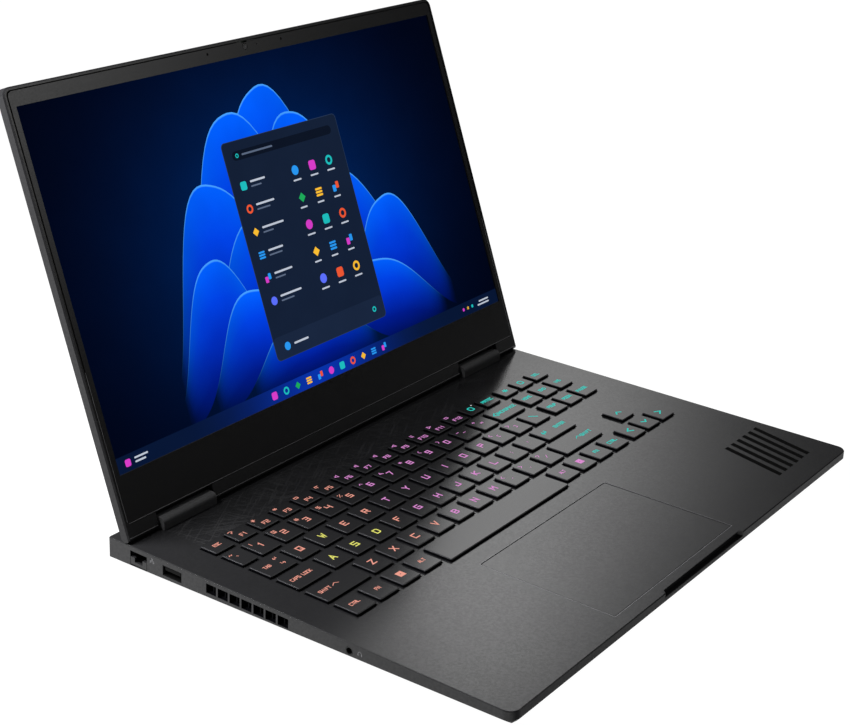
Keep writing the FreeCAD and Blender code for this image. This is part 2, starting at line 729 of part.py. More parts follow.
def top_case(caps):
    body = base_shell().cut(below_waist())
    rim = plate_box(0, PLATE_TOP, DECK_UNDER).cut(plate_box(PLATE_RIM, PLATE_TOP, DECK_UNDER))
    backing = box(-NOTCH_LENGTH / 2 - NOTCH_BACKING, NOTCH_LENGTH / 2 + NOTCH_BACKING, FRONT_Y + DECK_EDGE,
                  FRONT_Y + NOTCH_DEPTH + NOTCH_BACKING, FRONT_WAIST, DECK_UNDER)
    bosses = [disc(x, y, FLOOR_TOP, DECK_UNDER, BOSS_RADIUS) for x, y in screw_places()]
    body = join([body, rim, backing] + bosses)
    cuts = key_openings(caps) + side_vents() + rear_vents() + rear_windows() + post_cuts()
    cuts += [mirrored(shape) for shape in side_vents() + rear_vents() + post_cuts()]
    cuts += inlay_bars(SEAT, DECK_HEIGHT - INLAY_SINK, DECK_HEIGHT + SEAT)
    usb = usb_window(USB_SHELL + SEAT, -HALF_WIDTH - SEAT, -WALL_INNER + SEAT)
    cuts += [touch_box(TOUCH_GAP, DECK_UNDER - SEAT, DECK_HEIGHT + SEAT), finger_notch(), ethernet_window()]
    cuts += [usb, mirrored(usb)]
    cuts.append(rod_x(-HALF_WIDTH - SEAT, -WALL_INNER + SEAT, AUDIO_Y, AUDIO_Z, AUDIO_NOSE + SEAT))
    pin_x, pin_z = jaw_axis()
    pin_reach = ETHERNET_OPENING / 2 + JAW_PIN_LENGTH
    cuts.append(rod_y(ETHERNET_Y - pin_reach, ETHERNET_Y + pin_reach, pin_x, pin_z, JAW_PIN + SHAFT_RUNNING))
    screw_top = FLOOR_TOP + SCREW_LENGTH
    cuts += [disc(x, y, FLOOR_TOP - SEAT, screw_top, SCREW_RADIUS + SEAT) for x, y in screw_places()]
    return body.cut(cuts)


def standoff_places():
    """Where boards stand: x, y and the height of the board's underside."""
    near = BOARD_HALF - 2 * STANDOFF_RADIUS
    middle_y = (BOARD_FRONT + BOARD_STEP_Y) / 2
    front_y = BOARD_FRONT + 2 * STANDOFF_RADIUS
    rear_y = BOARD_STEP_Y - 2 * STANDOFF_RADIUS
    places = [(side * near, y, BOARD_BOTTOM) for side in (-1, 1) for y in (front_y, middle_y, rear_y)]
    for x0, x1, y0, y1, z0 in io_board_sizes():
        inner = x1 - 2 * STANDOFF_RADIUS if x0 < 0 else x0 + 2 * STANDOFF_RADIUS
        places.append((inner, (y0 + y1) / 2, z0))
    return places


def bottom_cover():
    body = base_shell().common(below_waist())
    posts = [disc(x, y, FLOOR_TOP, z, STANDOFF_RADIUS) for x, y, z in standoff_places()]
    body = join([body] + posts)
    cuts = []
    for side in (-1, 1):
        for y in centred_row(INTAKE_COUNT, INTAKE_PITCH, VENT_Y):
            half = INTAKE_LENGTH / 2
            middle = side * FAN_X
            cuts.append(box(middle - half, middle + half, y - INTAKE_WIDTH / 2, y + INTAKE_WIDTH / 2,
                            FOOT_HEIGHT - SEAT, FLOOR_TOP + SEAT))
    for x, y in screw_places():
        cuts.append(disc(x, y, FOOT_HEIGHT - SEAT, FLOOR_TOP + SEAT, SCREW_RADIUS + SEAT))
        cuts.append(disc(x, y, FOOT_HEIGHT - SEAT, FOOT_HEIGHT + SCREW_HEAD_HEIGHT, SCREW_HEAD + SEAT))
    return body.cut(cuts)


def bottom_screws():
    screws = []
    for x, y in screw_places():
        head = disc(x, y, FOOT_HEIGHT, FOOT_HEIGHT + SCREW_HEAD_HEIGHT, SCREW_HEAD)
        shank = disc(x, y, FOOT_HEIGHT, FLOOR_TOP + SCREW_LENGTH - SLIDE_GAP, SCREW_RADIUS)
        z0, z1 = FOOT_HEIGHT - SEAT, FOOT_HEIGHT + SCREW_CROSS_DEPTH
        cross = [box(*around(x, SCREW_CROSS), *around(y, SCREW_CROSS_WIDTH), z0, z1),
                 box(*around(x, SCREW_CROSS_WIDTH), *around(y, SCREW_CROSS), z0, z1)]
        screws.append(join([head, shank]).cut(cross))
    return Part.makeCompound(screws)


def rubber_feet():
    half = FOOT_WIDTH / 2
    rear = slab(-REAR_FOOT_HALF, REAR_FOOT_HALF, -half, half, 0, FOOT_HEIGHT, FOOT_ROUND)
    front = slab(-FRONT_FOOT_HALF, FRONT_FOOT_HALF, FRONT_FOOT_Y - half, FRONT_FOOT_Y + half, 0, FOOT_HEIGHT,
                 FOOT_ROUND)
    return Part.makeCompound([rear, front])


def hinge_cover():
    """Right knuckle: a hollow fairing with a rounded top that stands on the deck."""
    top = DECK_HEIGHT + KNUCKLE_HEIGHT
    y0 = HINGE_Y - KNUCKLE_FRONT
    y1 = HINGE_Y + KNUCKLE_BACK
    body = box(KNUCKLE_INNER, KNUCKLE_OUTER, y0, y1, DECK_HEIGHT, top)
    long_edges = [e for e in edges_at(body, top) if e.BoundBox.XLength > KNUCKLE_LENGTH / 2]
    body = body.makeFillet(KNUCKLE_ROUND, long_edges)
    skin = KNUCKLE_SKIN
    x0, x1 = KNUCKLE_INNER + skin, KNUCKLE_OUTER - skin
    hollow = box(x0, x1, y0 + skin, y1 - skin, DECK_HEIGHT - SEAT, top - skin)
    long_edges = [e for e in edges_at(hollow, top - skin) if e.BoundBox.XLength > KNUCKLE_LENGTH / 2]
    hollow = hollow.makeFillet(KNUCKLE_ROUND - skin, long_edges)
    hole = rod_x(KNUCKLE_OUTER - 2 * skin, KNUCKLE_OUTER + SEAT, HINGE_Y, HINGE_Z, SHAFT_RADIUS + SLIDE_GAP)
    return body.cut([hollow, hole])


def hinge_bracket():
    """Right bracket: a plate under the deck with two posts that end in eyes round the shaft."""
    eye = SHAFT_RADIUS + SHAFT_RUNNING + EYE_WALL
    z0 = DECK_UNDER - BRACKET_THICKNESS
    x0, x1 = KNUCKLE_INNER + KNUCKLE_SKIN, KNUCKLE_OUTER - KNUCKLE_SKIN
    plate = box(x0, x1, HINGE_Y - BRACKET_FRONT, HINGE_Y + eye, z0, DECK_UNDER)
    pieces = [plate]
    for x in eye_starts():
        pieces.append(box(x, x + EYE_LENGTH, HINGE_Y - eye, HINGE_Y + eye, z0, HINGE_Z))
        pieces.append(rod_x(x, x + EYE_LENGTH, HINGE_Y, HINGE_Z, eye))
    bore = rod_x(KNUCKLE_INNER, KNUCKLE_OUTER, HINGE_Y, HINGE_Z, SHAFT_RADIUS + SHAFT_RUNNING)
    return join(pieces).cut(bore)


def keyboard_plate():
    return plate_box(SEAT, PLATE_BOTTOM, PLATE_TOP)


def touchpad_bracket():
    """Tray fixed under the deck, with a bar at the pad's rear edge and a switch near its front."""
    half_w = TOUCH_WIDTH / 2 + TRAY_MARGIN
    half_d = TOUCH_DEPTH / 2 + TRAY_MARGIN
    x0, x1 = TOUCH_X - half_w, TOUCH_X + half_w
    y0, y1 = TOUCH_Y - half_d, TOUCH_Y + half_d
    floor = box(x0, x1, y0, y1, TRAY_TOP - TRAY_THICKNESS, TRAY_TOP)
    rim = box(x0, x1, y0, y1, TRAY_TOP, DECK_UNDER).cut(touch_box(2 * TOUCH_GAP, TRAY_TOP, DECK_UNDER))
    rear = TOUCH_Y + TOUCH_DEPTH / 2
    bar = box(x0, x1, rear - TRAY_BAR, rear, TRAY_TOP, TOUCH_BOTTOM - SLIDE_GAP)
    front = TOUCH_Y - TOUCH_DEPTH / 2 + SWITCH_SIZE
    switch = disc(TOUCH_X, front, TRAY_TOP, TOUCH_BOTTOM - TOUCH_PRESS - SEAT, SWITCH_SIZE / 2)
    return join([floor, rim, bar, switch])


# Sockets

def usb_port():
    """Left wall socket: a metal shell with a tongue, standing on its board."""
    x0 = -HALF_WIDTH + SLIDE_GAP
    x1 = x0 + USB_DEPTH
    shell = usb_window(USB_SHELL, x0, x1).cut(usb_window(0, x0 - SEAT, x1 - USB_SHELL))
    tongue_top = USB_CEILING - USB_SHELL
    half = USB_WIDTH / 2 - 2 * USB_SHELL
    tongue = box(x0 + USB_SHELL, x1, USB_Y - half, USB_Y + half, tongue_top - USB_TONGUE, tongue_top)
    base_x = SEAT - cavity_half(USB_Y - half, SIDE_BOARD_TOP)
    base = box(base_x, x1, USB_Y - half, USB_Y + half, SIDE_BOARD_TOP, USB_CEILING - USB_HEIGHT - USB_SHELL)
    return join([shell, tongue, base])


def ethernet_jack():
    half = ETHERNET_OPENING / 2
    x0 = -WALL_INNER + 2 * SLIDE_GAP
    x1 = x0 + ETHERNET_DEPTH + JACK_WALL
    body = box(x0, x1, ETHERNET_Y - half - JACK_WALL, ETHERNET_Y + half + JACK_WALL, SIDE_BOARD_TOP,
               ETHERNET_CEILING + JACK_WALL / 2)
    floor = ETHERNET_CEILING - ETHERNET_CAVITY
    inset = half - SLIDE_GAP
    cavity = box(x0 - SEAT, x1 - JACK_WALL, ETHERNET_Y - inset, ETHERNET_Y + inset, floor, ETHERNET_CEILING)
    return body.cut(cavity)


def ethernet_jaw():
    span = around(ETHERNET_Y, ETHERNET_OPENING - 2 * SLIDE_GAP)
    plate = box(-HALF_WIDTH, -HALF_WIDTH + JAW_THICKNESS, *span, JAW_BOTTOM, JAW_TOP)
    mouth = box(-HALF_WIDTH - SEAT, -HALF_WIDTH + JAW_THICKNESS + SEAT, *around(ETHERNET_Y, JAW_MOUTH),
                JAW_TOP - JAW_MOUTH_DEPTH, JAW_TOP + SEAT)
    plate = plate.cut(mouth)
    pin_x, pin_z = jaw_axis()
    reach = ETHERNET_OPENING / 2 + JAW_PIN_LENGTH - SLIDE_GAP
    return join([plate, rod_y(ETHERNET_Y - reach, ETHERNET_Y + reach, pin_x, pin_z, JAW_PIN)])


def audio_jack():
    half = AUDIO_BODY / 2
    x0 = -WALL_INNER + AUDIO_SETBACK
    body = box(x0, -HALF_WIDTH + AUDIO_LENGTH + WALL_SKIN, AUDIO_Y - half, AUDIO_Y + half, AUDIO_Z - half,
               AUDIO_Z + half - SLIDE_GAP)
    nose = rod_x(-HALF_WIDTH, x0 + SEAT, AUDIO_Y, AUDIO_Z, AUDIO_NOSE)
    bore = rod_x(-HALF_WIDTH, -HALF_WIDTH + AUDIO_LENGTH, AUDIO_Y, AUDIO_Z, AUDIO_BORE)
    return join([body, nose]).cut(bore)


def io_board_sizes():
    """Boards under the side sockets: x and y spans, and underside height."""
    rear_z = SIDE_BOARD_TOP - BOARD_THICKNESS
    usb_front = USB_Y - USB_WIDTH / 2 - STANDOFF_RADIUS
    usb_back = USB_Y + USB_WIDTH / 2 + STANDOFF_RADIUS
    ethernet_back = ETHERNET_Y + ETHERNET_OPENING / 2 + JACK_WALL
    audio_z = AUDIO_Z - AUDIO_BODY / 2 - BOARD_THICKNESS
    audio_front = AUDIO_Y - AUDIO_BODY
    outer = cavity_half(usb_front, rear_z) - SEAT
    audio_outer = cavity_half(audio_front, audio_z) - SEAT
    return (
        (-outer, ETHERNET_DEPTH - outer, usb_front, ethernet_back, rear_z),
        (outer - ETHERNET_DEPTH, outer, usb_front, usb_back, rear_z),
        (-audio_outer, AUDIO_LENGTH - audio_outer, audio_front, AUDIO_Y + AUDIO_BODY, audio_z),
    )


def io_boards():
    boards = [box(x0, x1, y0, y1, z, z + BOARD_THICKNESS) for x0, x1, y0, y1, z in io_board_sizes()]
    return Part.makeCompound(boards)


def flat_socket(x, width, height):
    """Rear wall socket: a shell with a thin tongue, seated on the mainboard."""
    middle = socket_middle(height)
    y1 = REAR_Y - SLIDE_GAP
    y0 = y1 - REAR_SOCKET_DEPTH
    skin = SOCKET_SHELL
    shell = box(*around(x, width + 2 * skin), y0, y1, *around(middle, height + 2 * skin))
    hollow = box(*around(x, width), y0 + skin, y1 + SEAT, *around(middle, height))
    tongue = box(*around(x, width - 4 * skin), y0, y1 - 2 * skin, *around(middle, SOCKET_TONGUE))
    return join([shell.cut(hollow), tongue])


def dc_inlet():
    """Round power inlet with a centre pin."""
    z = BOARD_TOP + DC_BODY / 2
    half = DC_BODY / 2
    y1 = REAR_Y - SLIDE_GAP
    y0 = y1 - REAR_SOCKET_DEPTH
    body = box(DC_X - half, DC_X + half, y0, REAR_INNER - SEAT, BOARD_TOP, BOARD_TOP + DC_BODY)
    nose = rod_y(REAR_INNER - 2 * SEAT, y1, DC_X, z, DC_RADIUS + SOCKET_SHELL - SEAT)
    hole = rod_y(y0 + WALL_SKIN, y1 + SEAT, DC_X, z, DC_RADIUS)
    pin = rod_y(y0, y1 - WALL_SKIN, DC_X, z, DC_PIN)
    return join([join([body, nose]).cut(hole), pin])


# Works inside the base

def mainboard():
    z0, z1 = BOARD_BOTTOM, BOARD_TOP
    main = box(-BOARD_HALF, BOARD_HALF, BOARD_FRONT, BOARD_STEP_Y, z0, z1)
    neck = box(-BOARD_NECK, BOARD_NECK, BOARD_STEP_Y - SEAT, REAR_INNER - SLIDE_GAP, z0, z1)
    memory_top = z1 + MODULE_LIFT + MODULE_PITCH + BOARD_THICKNESS
    memory = box(-MODULE_WIDTH / 2, MODULE_WIDTH / 2, CARD_END_Y, CARD_END_Y + CARD_SOCKET, z1, memory_top)
    ssd_end = BOARD_FRONT + CARD_SOCKET + SSD_LENGTH
    ssd = box(SSD_X - SSD_WIDTH / 2, SSD_X + SSD_WIDTH / 2, ssd_end, ssd_end + CARD_SOCKET, z1,
              z1 + MODULE_LIFT + SSD_THICKNESS)
    wifi = box(WIFI_X - SSD_WIDTH / 2, WIFI_X + SSD_WIDTH / 2, CARD_END_Y, CARD_END_Y + CARD_SOCKET, z1,
               z1 + MODULE_LIFT + WIFI_THICKNESS)
    return join([main, neck, memory, ssd, wifi])


def processor_chips():
    half = CHIP_SIZE / 2
    return both_sides(box(CHIP_X - half, CHIP_X + half, CHIP_Y - half, CHIP_Y + half, BOARD_TOP, PIPE_BOTTOM))


def memory_modules():
    modules = []
    for i in range(2):
        z0 = BOARD_TOP + MODULE_LIFT + i * MODULE_PITCH
        modules.append(box(-MODULE_WIDTH / 2, MODULE_WIDTH / 2, CARD_END_Y - MODULE_DEPTH, CARD_END_Y, z0,
                           z0 + BOARD_THICKNESS))
    return Part.makeCompound(modules)


def ssd_module():
    z0 = BOARD_TOP + MODULE_LIFT
    y0 = BOARD_FRONT + CARD_SOCKET
    return box(SSD_X - SSD_WIDTH / 2, SSD_X + SSD_WIDTH / 2, y0, y0 + SSD_LENGTH, z0, z0 + SSD_THICKNESS)


def wifi_card():
    z0 = BOARD_TOP + MODULE_LIFT
    return box(WIFI_X - SSD_WIDTH / 2, WIFI_X + SSD_WIDTH / 2, CARD_END_Y - WIFI_LENGTH, CARD_END_Y, z0,
               z0 + WIFI_THICKNESS)


def heat_pipe():
    """Right flattened pipe: from its chip back to the rear fins and out along them."""
    half = PIPE_WIDTH / 2
    z0, z1 = PIPE_BOTTOM, PIPE_BOTTOM + PIPE_THICKNESS
    to_rear = box(CHIP_X - half, CHIP_X + half, CHIP_Y - CHIP_SIZE / 2, PIPE_Y, z0, z1)
    along = box(CHIP_X, REAR_VENT_X + rear_vent_half(), PIPE_Y - half, PIPE_Y + half, z0, z1)
    return join([to_rear, along, disc(CHIP_X, PIPE_Y, z0, z1, half)])


def rear_vent_half():
    return REAR_VENT_COUNT * VENT_PITCH / 2


def fins(x0, x1, y0, y1, z0, z1, count, across):
    """Two plates joined by upright fins, open along one direction."""
    block = box(x0, x1, y0, y1, z0, z1)
    slots = []
    for i in range(count):
        if across == "x":
            pitch = (x1 - x0 - STACK_FIN) / count
            start = x0 + STACK_FIN + i * pitch
            slots.append(box(start, start + pitch - STACK_FIN, y0 - SEAT, y1 + SEAT, z0 + STACK_PLATE,
                             z1 - STACK_PLATE))
        else:
            pitch = (y1 - y0 - STACK_FIN) / count
            start = y0 + STACK_FIN + i * pitch
            slots.append(box(x0 - SEAT, x1 + SEAT, start, start + pitch - STACK_FIN, z0 + STACK_PLATE,
                             z1 - STACK_PLATE))
    return block.cut(slots)


def fin_stacks():
    side_half = VENT_COUNT * VENT_PITCH / 2
    side_top = DECK_HEIGHT - STACK_TOP_SPACE + STACK_PLATE
    side = fins(SIDE_STACK_INNER, SIDE_STACK_OUTER, VENT_Y - side_half, VENT_Y + side_half,
                side_top - STACK_HEIGHT - 2 * STACK_PLATE, side_top, 2 * VENT_COUNT, "y")
    rear_top = DECK_HEIGHT - REAR_VENT_TOP + STACK_PLATE
    rear_bottom = rear_top - REAR_VENT_HEIGHT - 2 * STACK_PLATE
    rear = fins(*around(REAR_VENT_X, 2 * rear_vent_half()), PIPE_Y + PIPE_WIDTH / 2 + SEAT, REAR_INNER - SEAT,
                rear_bottom, rear_top, 2 * REAR_VENT_COUNT, "x")
    return Part.makeCompound([side, mirrored(side), rear, mirrored(rear)])


def fan_housing():
    """Right blower casing: inlet above, outlets to the side and the back, rotor pin in the middle."""
    half = FAN_SIZE / 2
    z0, z1 = FAN_BOTTOM, FAN_BOTTOM + FAN_HEIGHT
    x0, x1 = FAN_X - half, FAN_X + half
    y0, y1 = VENT_Y - half, VENT_Y + half
    body = box(x0, x1, y0, y1, z0, z1)
    hollow = box(x0 + FAN_WALL, x1 + SEAT, y0 + FAN_WALL, y1 + SEAT, z0 + FAN_WALL, z1 - FAN_WALL)
    inlet = disc(FAN_X, VENT_Y, z1 - 2 * FAN_WALL, z1 + SEAT, FAN_INLET)
    corner = box(x1 - FAN_WALL, x1, y1 - FAN_WALL, y1, z0, z1)
    pin = disc(FAN_X, VENT_Y, z0, z1 - FAN_WALL - FAN_END_GAP, FAN_PIN)
    leg_reach = half - 2 * STANDOFF_RADIUS
    legs = [disc(FAN_X + sx * leg_reach, VENT_Y + sy * leg_reach, FLOOR_TOP, z0, STANDOFF_RADIUS)
            for sx in (-1, 1) for sy in (-1, 1)]
    return join([body.cut([hollow, inlet]), corner, pin] + legs)


def fan_rotor():
    """Right rotor: a hub on the casing's pin with straight blades."""
    z0 = FAN_BOTTOM + FAN_WALL + FAN_END_GAP
    z1 = FAN_BOTTOM + FAN_HEIGHT - FAN_WALL - FAN_END_GAP
    pieces = [disc(FAN_X, VENT_Y, z0, z1, FAN_HUB)]
    for i in range(FAN_BLADES):
        blade = box(FAN_X + FAN_HUB / 2, FAN_X + FAN_RADIUS, *around(VENT_Y, FAN_BLADE), z0, z1)
        blade.rotate(vec(FAN_X, VENT_Y, z0), vec(0, 0, 1), i * 360.0 / FAN_BLADES)
        pieces.append(blade)
    bore = disc(FAN_X, VENT_Y, z0 - SEAT, z1 + SEAT, FAN_PIN + SHAFT_RUNNING)
    return join(pieces).cut(bore)


def battery():
    z1 = FLOOR_TOP + BATTERY_HEIGHT
    body = box(-BATTERY_HALF, BATTERY_HALF, BATTERY_FRONT, BATTERY_BACK, FLOOR_TOP, z1)
    pitch = 2 * BATTERY_HALF / BATTERY_CELLS
    grooves = []
    for x in centred_row(BATTERY_CELLS - 1, pitch, 0):
        grooves.append(box(x - BATTERY_GROOVE, x + BATTERY_GROOVE, BATTERY_FRONT - SEAT, BATTERY_BACK + SEAT,
                           z1 - BATTERY_GROOVE, z1 + SEAT))
    return body.cut(grooves)


def speaker():
    """Right speaker box with its round cone facing the floor vents."""
    half_w = SPEAKER_WIDTH / 2
    half_d = SPEAKER_DEPTH / 2
    body = slab(SPEAKER_X - half_w, SPEAKER_X + half_w, SPEAKER_Y - half_d, SPEAKER_Y + half_d, FLOOR_TOP,
                FLOOR_TOP + SPEAKER_HEIGHT, FOOT_ROUND)
    mouth = vec(SPEAKER_X, SPEAKER_Y, FLOOR_TOP)
    cone = Part.makeCone(SPEAKER_CONE, SPEAKER_CONE / 2, SPEAKER_HEIGHT / 3, mouth)
    return body.cut(cone)


# Lid pieces, drawn closed

def lip_cuts():
    """Bevels along the lip, so that it turns clear of the deck up to the full opening angle."""
    reach = HALF_WIDTH + SEAT
    full = math.radians(FULL_ANGLE)
    down = (HINGE_RISE - LIP_CLEARANCE)
    back_off = (HINGE_Z - LID_BACK) * math.cos(full)
    lip_back = (down - LIP_REACH * math.sin(full)) / -math.cos(full)
    rear_v = (down - back_off) / math.sin(full)
    back = [(-reach, LIP_Y, HINGE_Z + lip_back), (-reach, HINGE_Y + rear_v, LID_BACK),
            (-reach, LIP_Y, LID_BACK)]
    front = [(-reach, LIP_Y - LIP_CHAMFER, LID_FACE), (-reach, LIP_Y, LID_FACE),
             (-reach, LIP_Y, LID_FACE + LIP_CHAMFER)]
    return [prism(back, (2 * reach, 0, 0)), prism(front, (2 * reach, 0, 0))]


def tang_span():
    start = KNUCKLE_OUTER + KNUCKLE_END_GAP + SEAT
    return start, start + TANG_LENGTH


def leaf_levels():
    """Height span of the leaf plates, which lie against the flat tangs."""
    z0 = HINGE_Z + TANG_THICKNESS / 2
    return z0, z0 + LEAF_THICKNESS


def leaf_outline(grow):
    """Right leaf: a tongue beside the knuckle and a wide foot behind the chin."""
    z0, z1 = leaf_levels()
    x0, x1 = tang_span()
    tip_y = HINGE_Y + SHAFT_RADIUS / 2
    tongue = box(x0 - grow, x1 + grow, HINGE_Y - LEAF_TOP, tip_y + grow, z0 - grow, z1 + grow)
    foot = box(x1 - LEAF_WIDTH, x1 + grow, HINGE_Y - LEAF_TOP, CHIN_Y - SLIDE_GAP, z0, z1)
    return tongue, foot


def knuckle_notch(x0, x1):
    """Room for the right knuckle: open at the face, and round it at the back."""
    face = box(x0, x1, CHIN_Y - SEAT, LIP_Y + SEAT, LID_FACE - SEAT, HINGE_Z)
    round_y = HINGE_Y - KNUCKLE_FRONT + KNUCKLE_ROUND
    front = rod_x(x0, x1, round_y, HINGE_Z, KNUCKLE_ROUND + KNUCKLE_CLEARANCE)
    back = rod_x(x0, x1, HINGE_Y, HINGE_Z, KNUCKLE_BACK + KNUCKLE_BACK_CLEARANCE)
    return join([face, front, back])


def lid_cover():
    body = slab(-HALF_WIDTH, HALF_WIDTH, LID_TOP_Y, LIP_Y, LID_FACE, LID_BACK, LID_CORNER)
    square = box(-HALF_WIDTH, HALF_WIDTH, LIP_Y - LID_CORNER, LIP_Y, LID_FACE, LID_BACK)
    body = join([body, square])
    rim_edges = edges_at(body, LID_FACE) + edges_at(body, LID_BACK)
    body = body.makeChamfer(LID_EDGE, [e for e in rim_edges if e.BoundBox.YMin < LIP_Y - SEAT])
    pocket = slab(*around(0, 2 * POCKET_HALF), POCKET_TOP_Y, CHIN_Y, LID_FACE - SEAT, LID_FLOOR,
                  LID_CORNER - LID_RIM)
    x0, x1 = KNUCKLE_INNER - KNUCKLE_END_GAP, KNUCKLE_OUTER + KNUCKLE_END_GAP
    notch = knuckle_notch(x0, x1)
    tongue = leaf_outline(SEAT)[0]
    half = TANG_THICKNESS / 2 + SEAT
    reach = SHAFT_RADIUS + SEAT
    socket = box(x1 - SEAT, tang_span()[1] + SEAT, *around(HINGE_Y, 2 * reach), *around(HINGE_Z, 2 * half))
    cuts = [pocket] + lip_cuts()
    for shape in (notch, tongue, socket):
        cuts += [shape, mirrored(shape)]
    body = body.cut(cuts)
    pads = box(x1 - LEAF_WIDTH / 2, x1, HINGE_Y - LEAF_TOP, CHIN_Y - SLIDE_GAP, leaf_levels()[1], LID_FLOOR)
    return join([body, pads, mirrored(pads)])


def display_bezel():
    half = POCKET_HALF - GROOVE
    body = slab(-half, half, POCKET_TOP_Y + GROOVE, CHIN_Y - CHIN_GROOVE, BEZEL_FACE, BEZEL_BACK,
                LID_CORNER - LID_RIM - GROOVE)
    window = box(-SCREEN_WIDTH / 2, SCREEN_WIDTH / 2, SCREEN_TOP_Y, SCREEN_BOTTOM_Y, BEZEL_FACE - SEAT,
                 BEZEL_BACK + SEAT)
    camera_y = HINGE_Y - CAMERA_REACH
    cuts = [window, disc(CAMERA_X, camera_y, BEZEL_FACE - SEAT, BEZEL_BACK + SEAT, CAMERA_HOLE)]
    for x in centred_row(2, MICROPHONE_SPAN, CAMERA_X):
        cuts.append(disc(x, camera_y, BEZEL_FACE - SEAT, BEZEL_BACK + SEAT, MICROPHONE_HOLE))
    tab0, tab1 = tab_span()
    cuts.append(box(tab0 - SHUTTER_TRAVEL - SLIDE_GAP, tab1 + SLIDE_GAP, POCKET_TOP_Y + GROOVE - SEAT,
                    tab_front() + SLIDE_GAP / 2, BEZEL_FACE - SEAT, BEZEL_BACK + SEAT))
    return body.cut(cuts)


def tab_front():
    """Edge of the shutter's tab nearest to the screen."""
    return POCKET_TOP_Y + GROOVE + SHUTTER_TAB_HEIGHT - SLIDE_GAP / 2


def tab_span():
    """Rest place of the shutter's tab along the slot."""
    start = CAMERA_X + SHUTTER_TRAVEL - SHUTTER_TAB / 2
    return start, start + SHUTTER_TAB


def shutter_top():
    return BEZEL_BACK + SHUTTER_PLAY + SHUTTER_THICKNESS


def camera_shutter():
    """Blade behind the bezel, drawn clear of the lens, with a tab in the slot."""
    camera_y = HINGE_Y - CAMERA_REACH
    x0 = CAMERA_X + CAMERA_HOLE + SLIDE_GAP
    reach = CAMERA_HOLE + SLIDE_GAP
    blade = box(x0, x0 + 2 * reach + SLIDE_GAP, tab_front() - SHUTTER_TAB_HEIGHT, camera_y + reach,
                BEZEL_BACK + SHUTTER_PLAY, shutter_top())
    tab0, tab1 = tab_span()
    tab = box(tab0, tab1, tab_front() - SHUTTER_TAB_HEIGHT, tab_front(), LID_FACE, shutter_top())
    return join([blade, tab])


def camera_board_y():
    """Board's edges: it lies between the panel and the pocket's wall."""
    y0 = POCKET_TOP_Y + SEAT
    return y0, y0 + CAMERA_BOARD_HEIGHT


def camera_board_z():
    return shutter_top() + SHUTTER_PLAY + LENS_THICKNESS + SLIDE_GAP


def webcam_module():
    y0, y1 = camera_board_y()
    z0 = camera_board_z()
    board = box(*around(CAMERA_X, CAMERA_BOARD), y0, y1, z0, z0 + CAMERA_BOARD_THICKNESS)
    camera_y = HINGE_Y - CAMERA_REACH
    barrel = disc(CAMERA_X, camera_y, shutter_top() + SHUTTER_PLAY, z0, CAMERA_BARREL)
    seat = disc(CAMERA_X, camera_y, shutter_top(), shutter_top() + SHUTTER_PLAY + LENS_THICKNESS, LENS_RADIUS)
    return join([board, barrel]).cut(seat)


def webcam_lens():
    z0 = shutter_top() + SHUTTER_PLAY
    return disc(CAMERA_X, HINGE_Y - CAMERA_REACH, z0, z0 + LENS_THICKNESS, LENS_RADIUS - SEAT / 2)


def microphones():
    half = MICROPHONE_SIZE / 2
    y = HINGE_Y - CAMERA_REACH
    return Part.makeCompound([box(x - half, x + half, y - half, y + half, BEZEL_BACK + SEAT, camera_board_z())
                              for x in centred_row(2, MICROPHONE_SPAN, CAMERA_X)])


def panel_box(z0, z1):
    half = SCREEN_WIDTH / 2 + PANEL_BORDER
    return box(-half, half, SCREEN_TOP_Y - PANEL_BORDER, SCREEN_BOTTOM_Y + PANEL_CHIN, z0, z1)


def hinge_shaft():
    """Right shaft: a round pin in the bracket's eyes with a flat tang in the lid's lip."""
    x0 = KNUCKLE_INNER + KNUCKLE_SKIN + EYE_LENGTH / 2
    neck = KNUCKLE_OUTER + KNUCKLE_END_GAP / 2
    pin = rod_x(x0, neck + SEAT, HINGE_Y, HINGE_Z, SHAFT_RADIUS)
    tang = box(neck, tang_span()[1], *around(HINGE_Y, 2 * SHAFT_RADIUS), *around(HINGE_Z, TANG_THICKNESS))
    return join([pin, tang])


def export(node, shape):
    """Write one node and say what it holds."""
    state = "valid" if shape.isValid() else "INVALID"
    print(node, len(shape.Solids), "solids", round(shape.Volume, 1), state)
    shape.exportStep("parts/" + node + ".step")


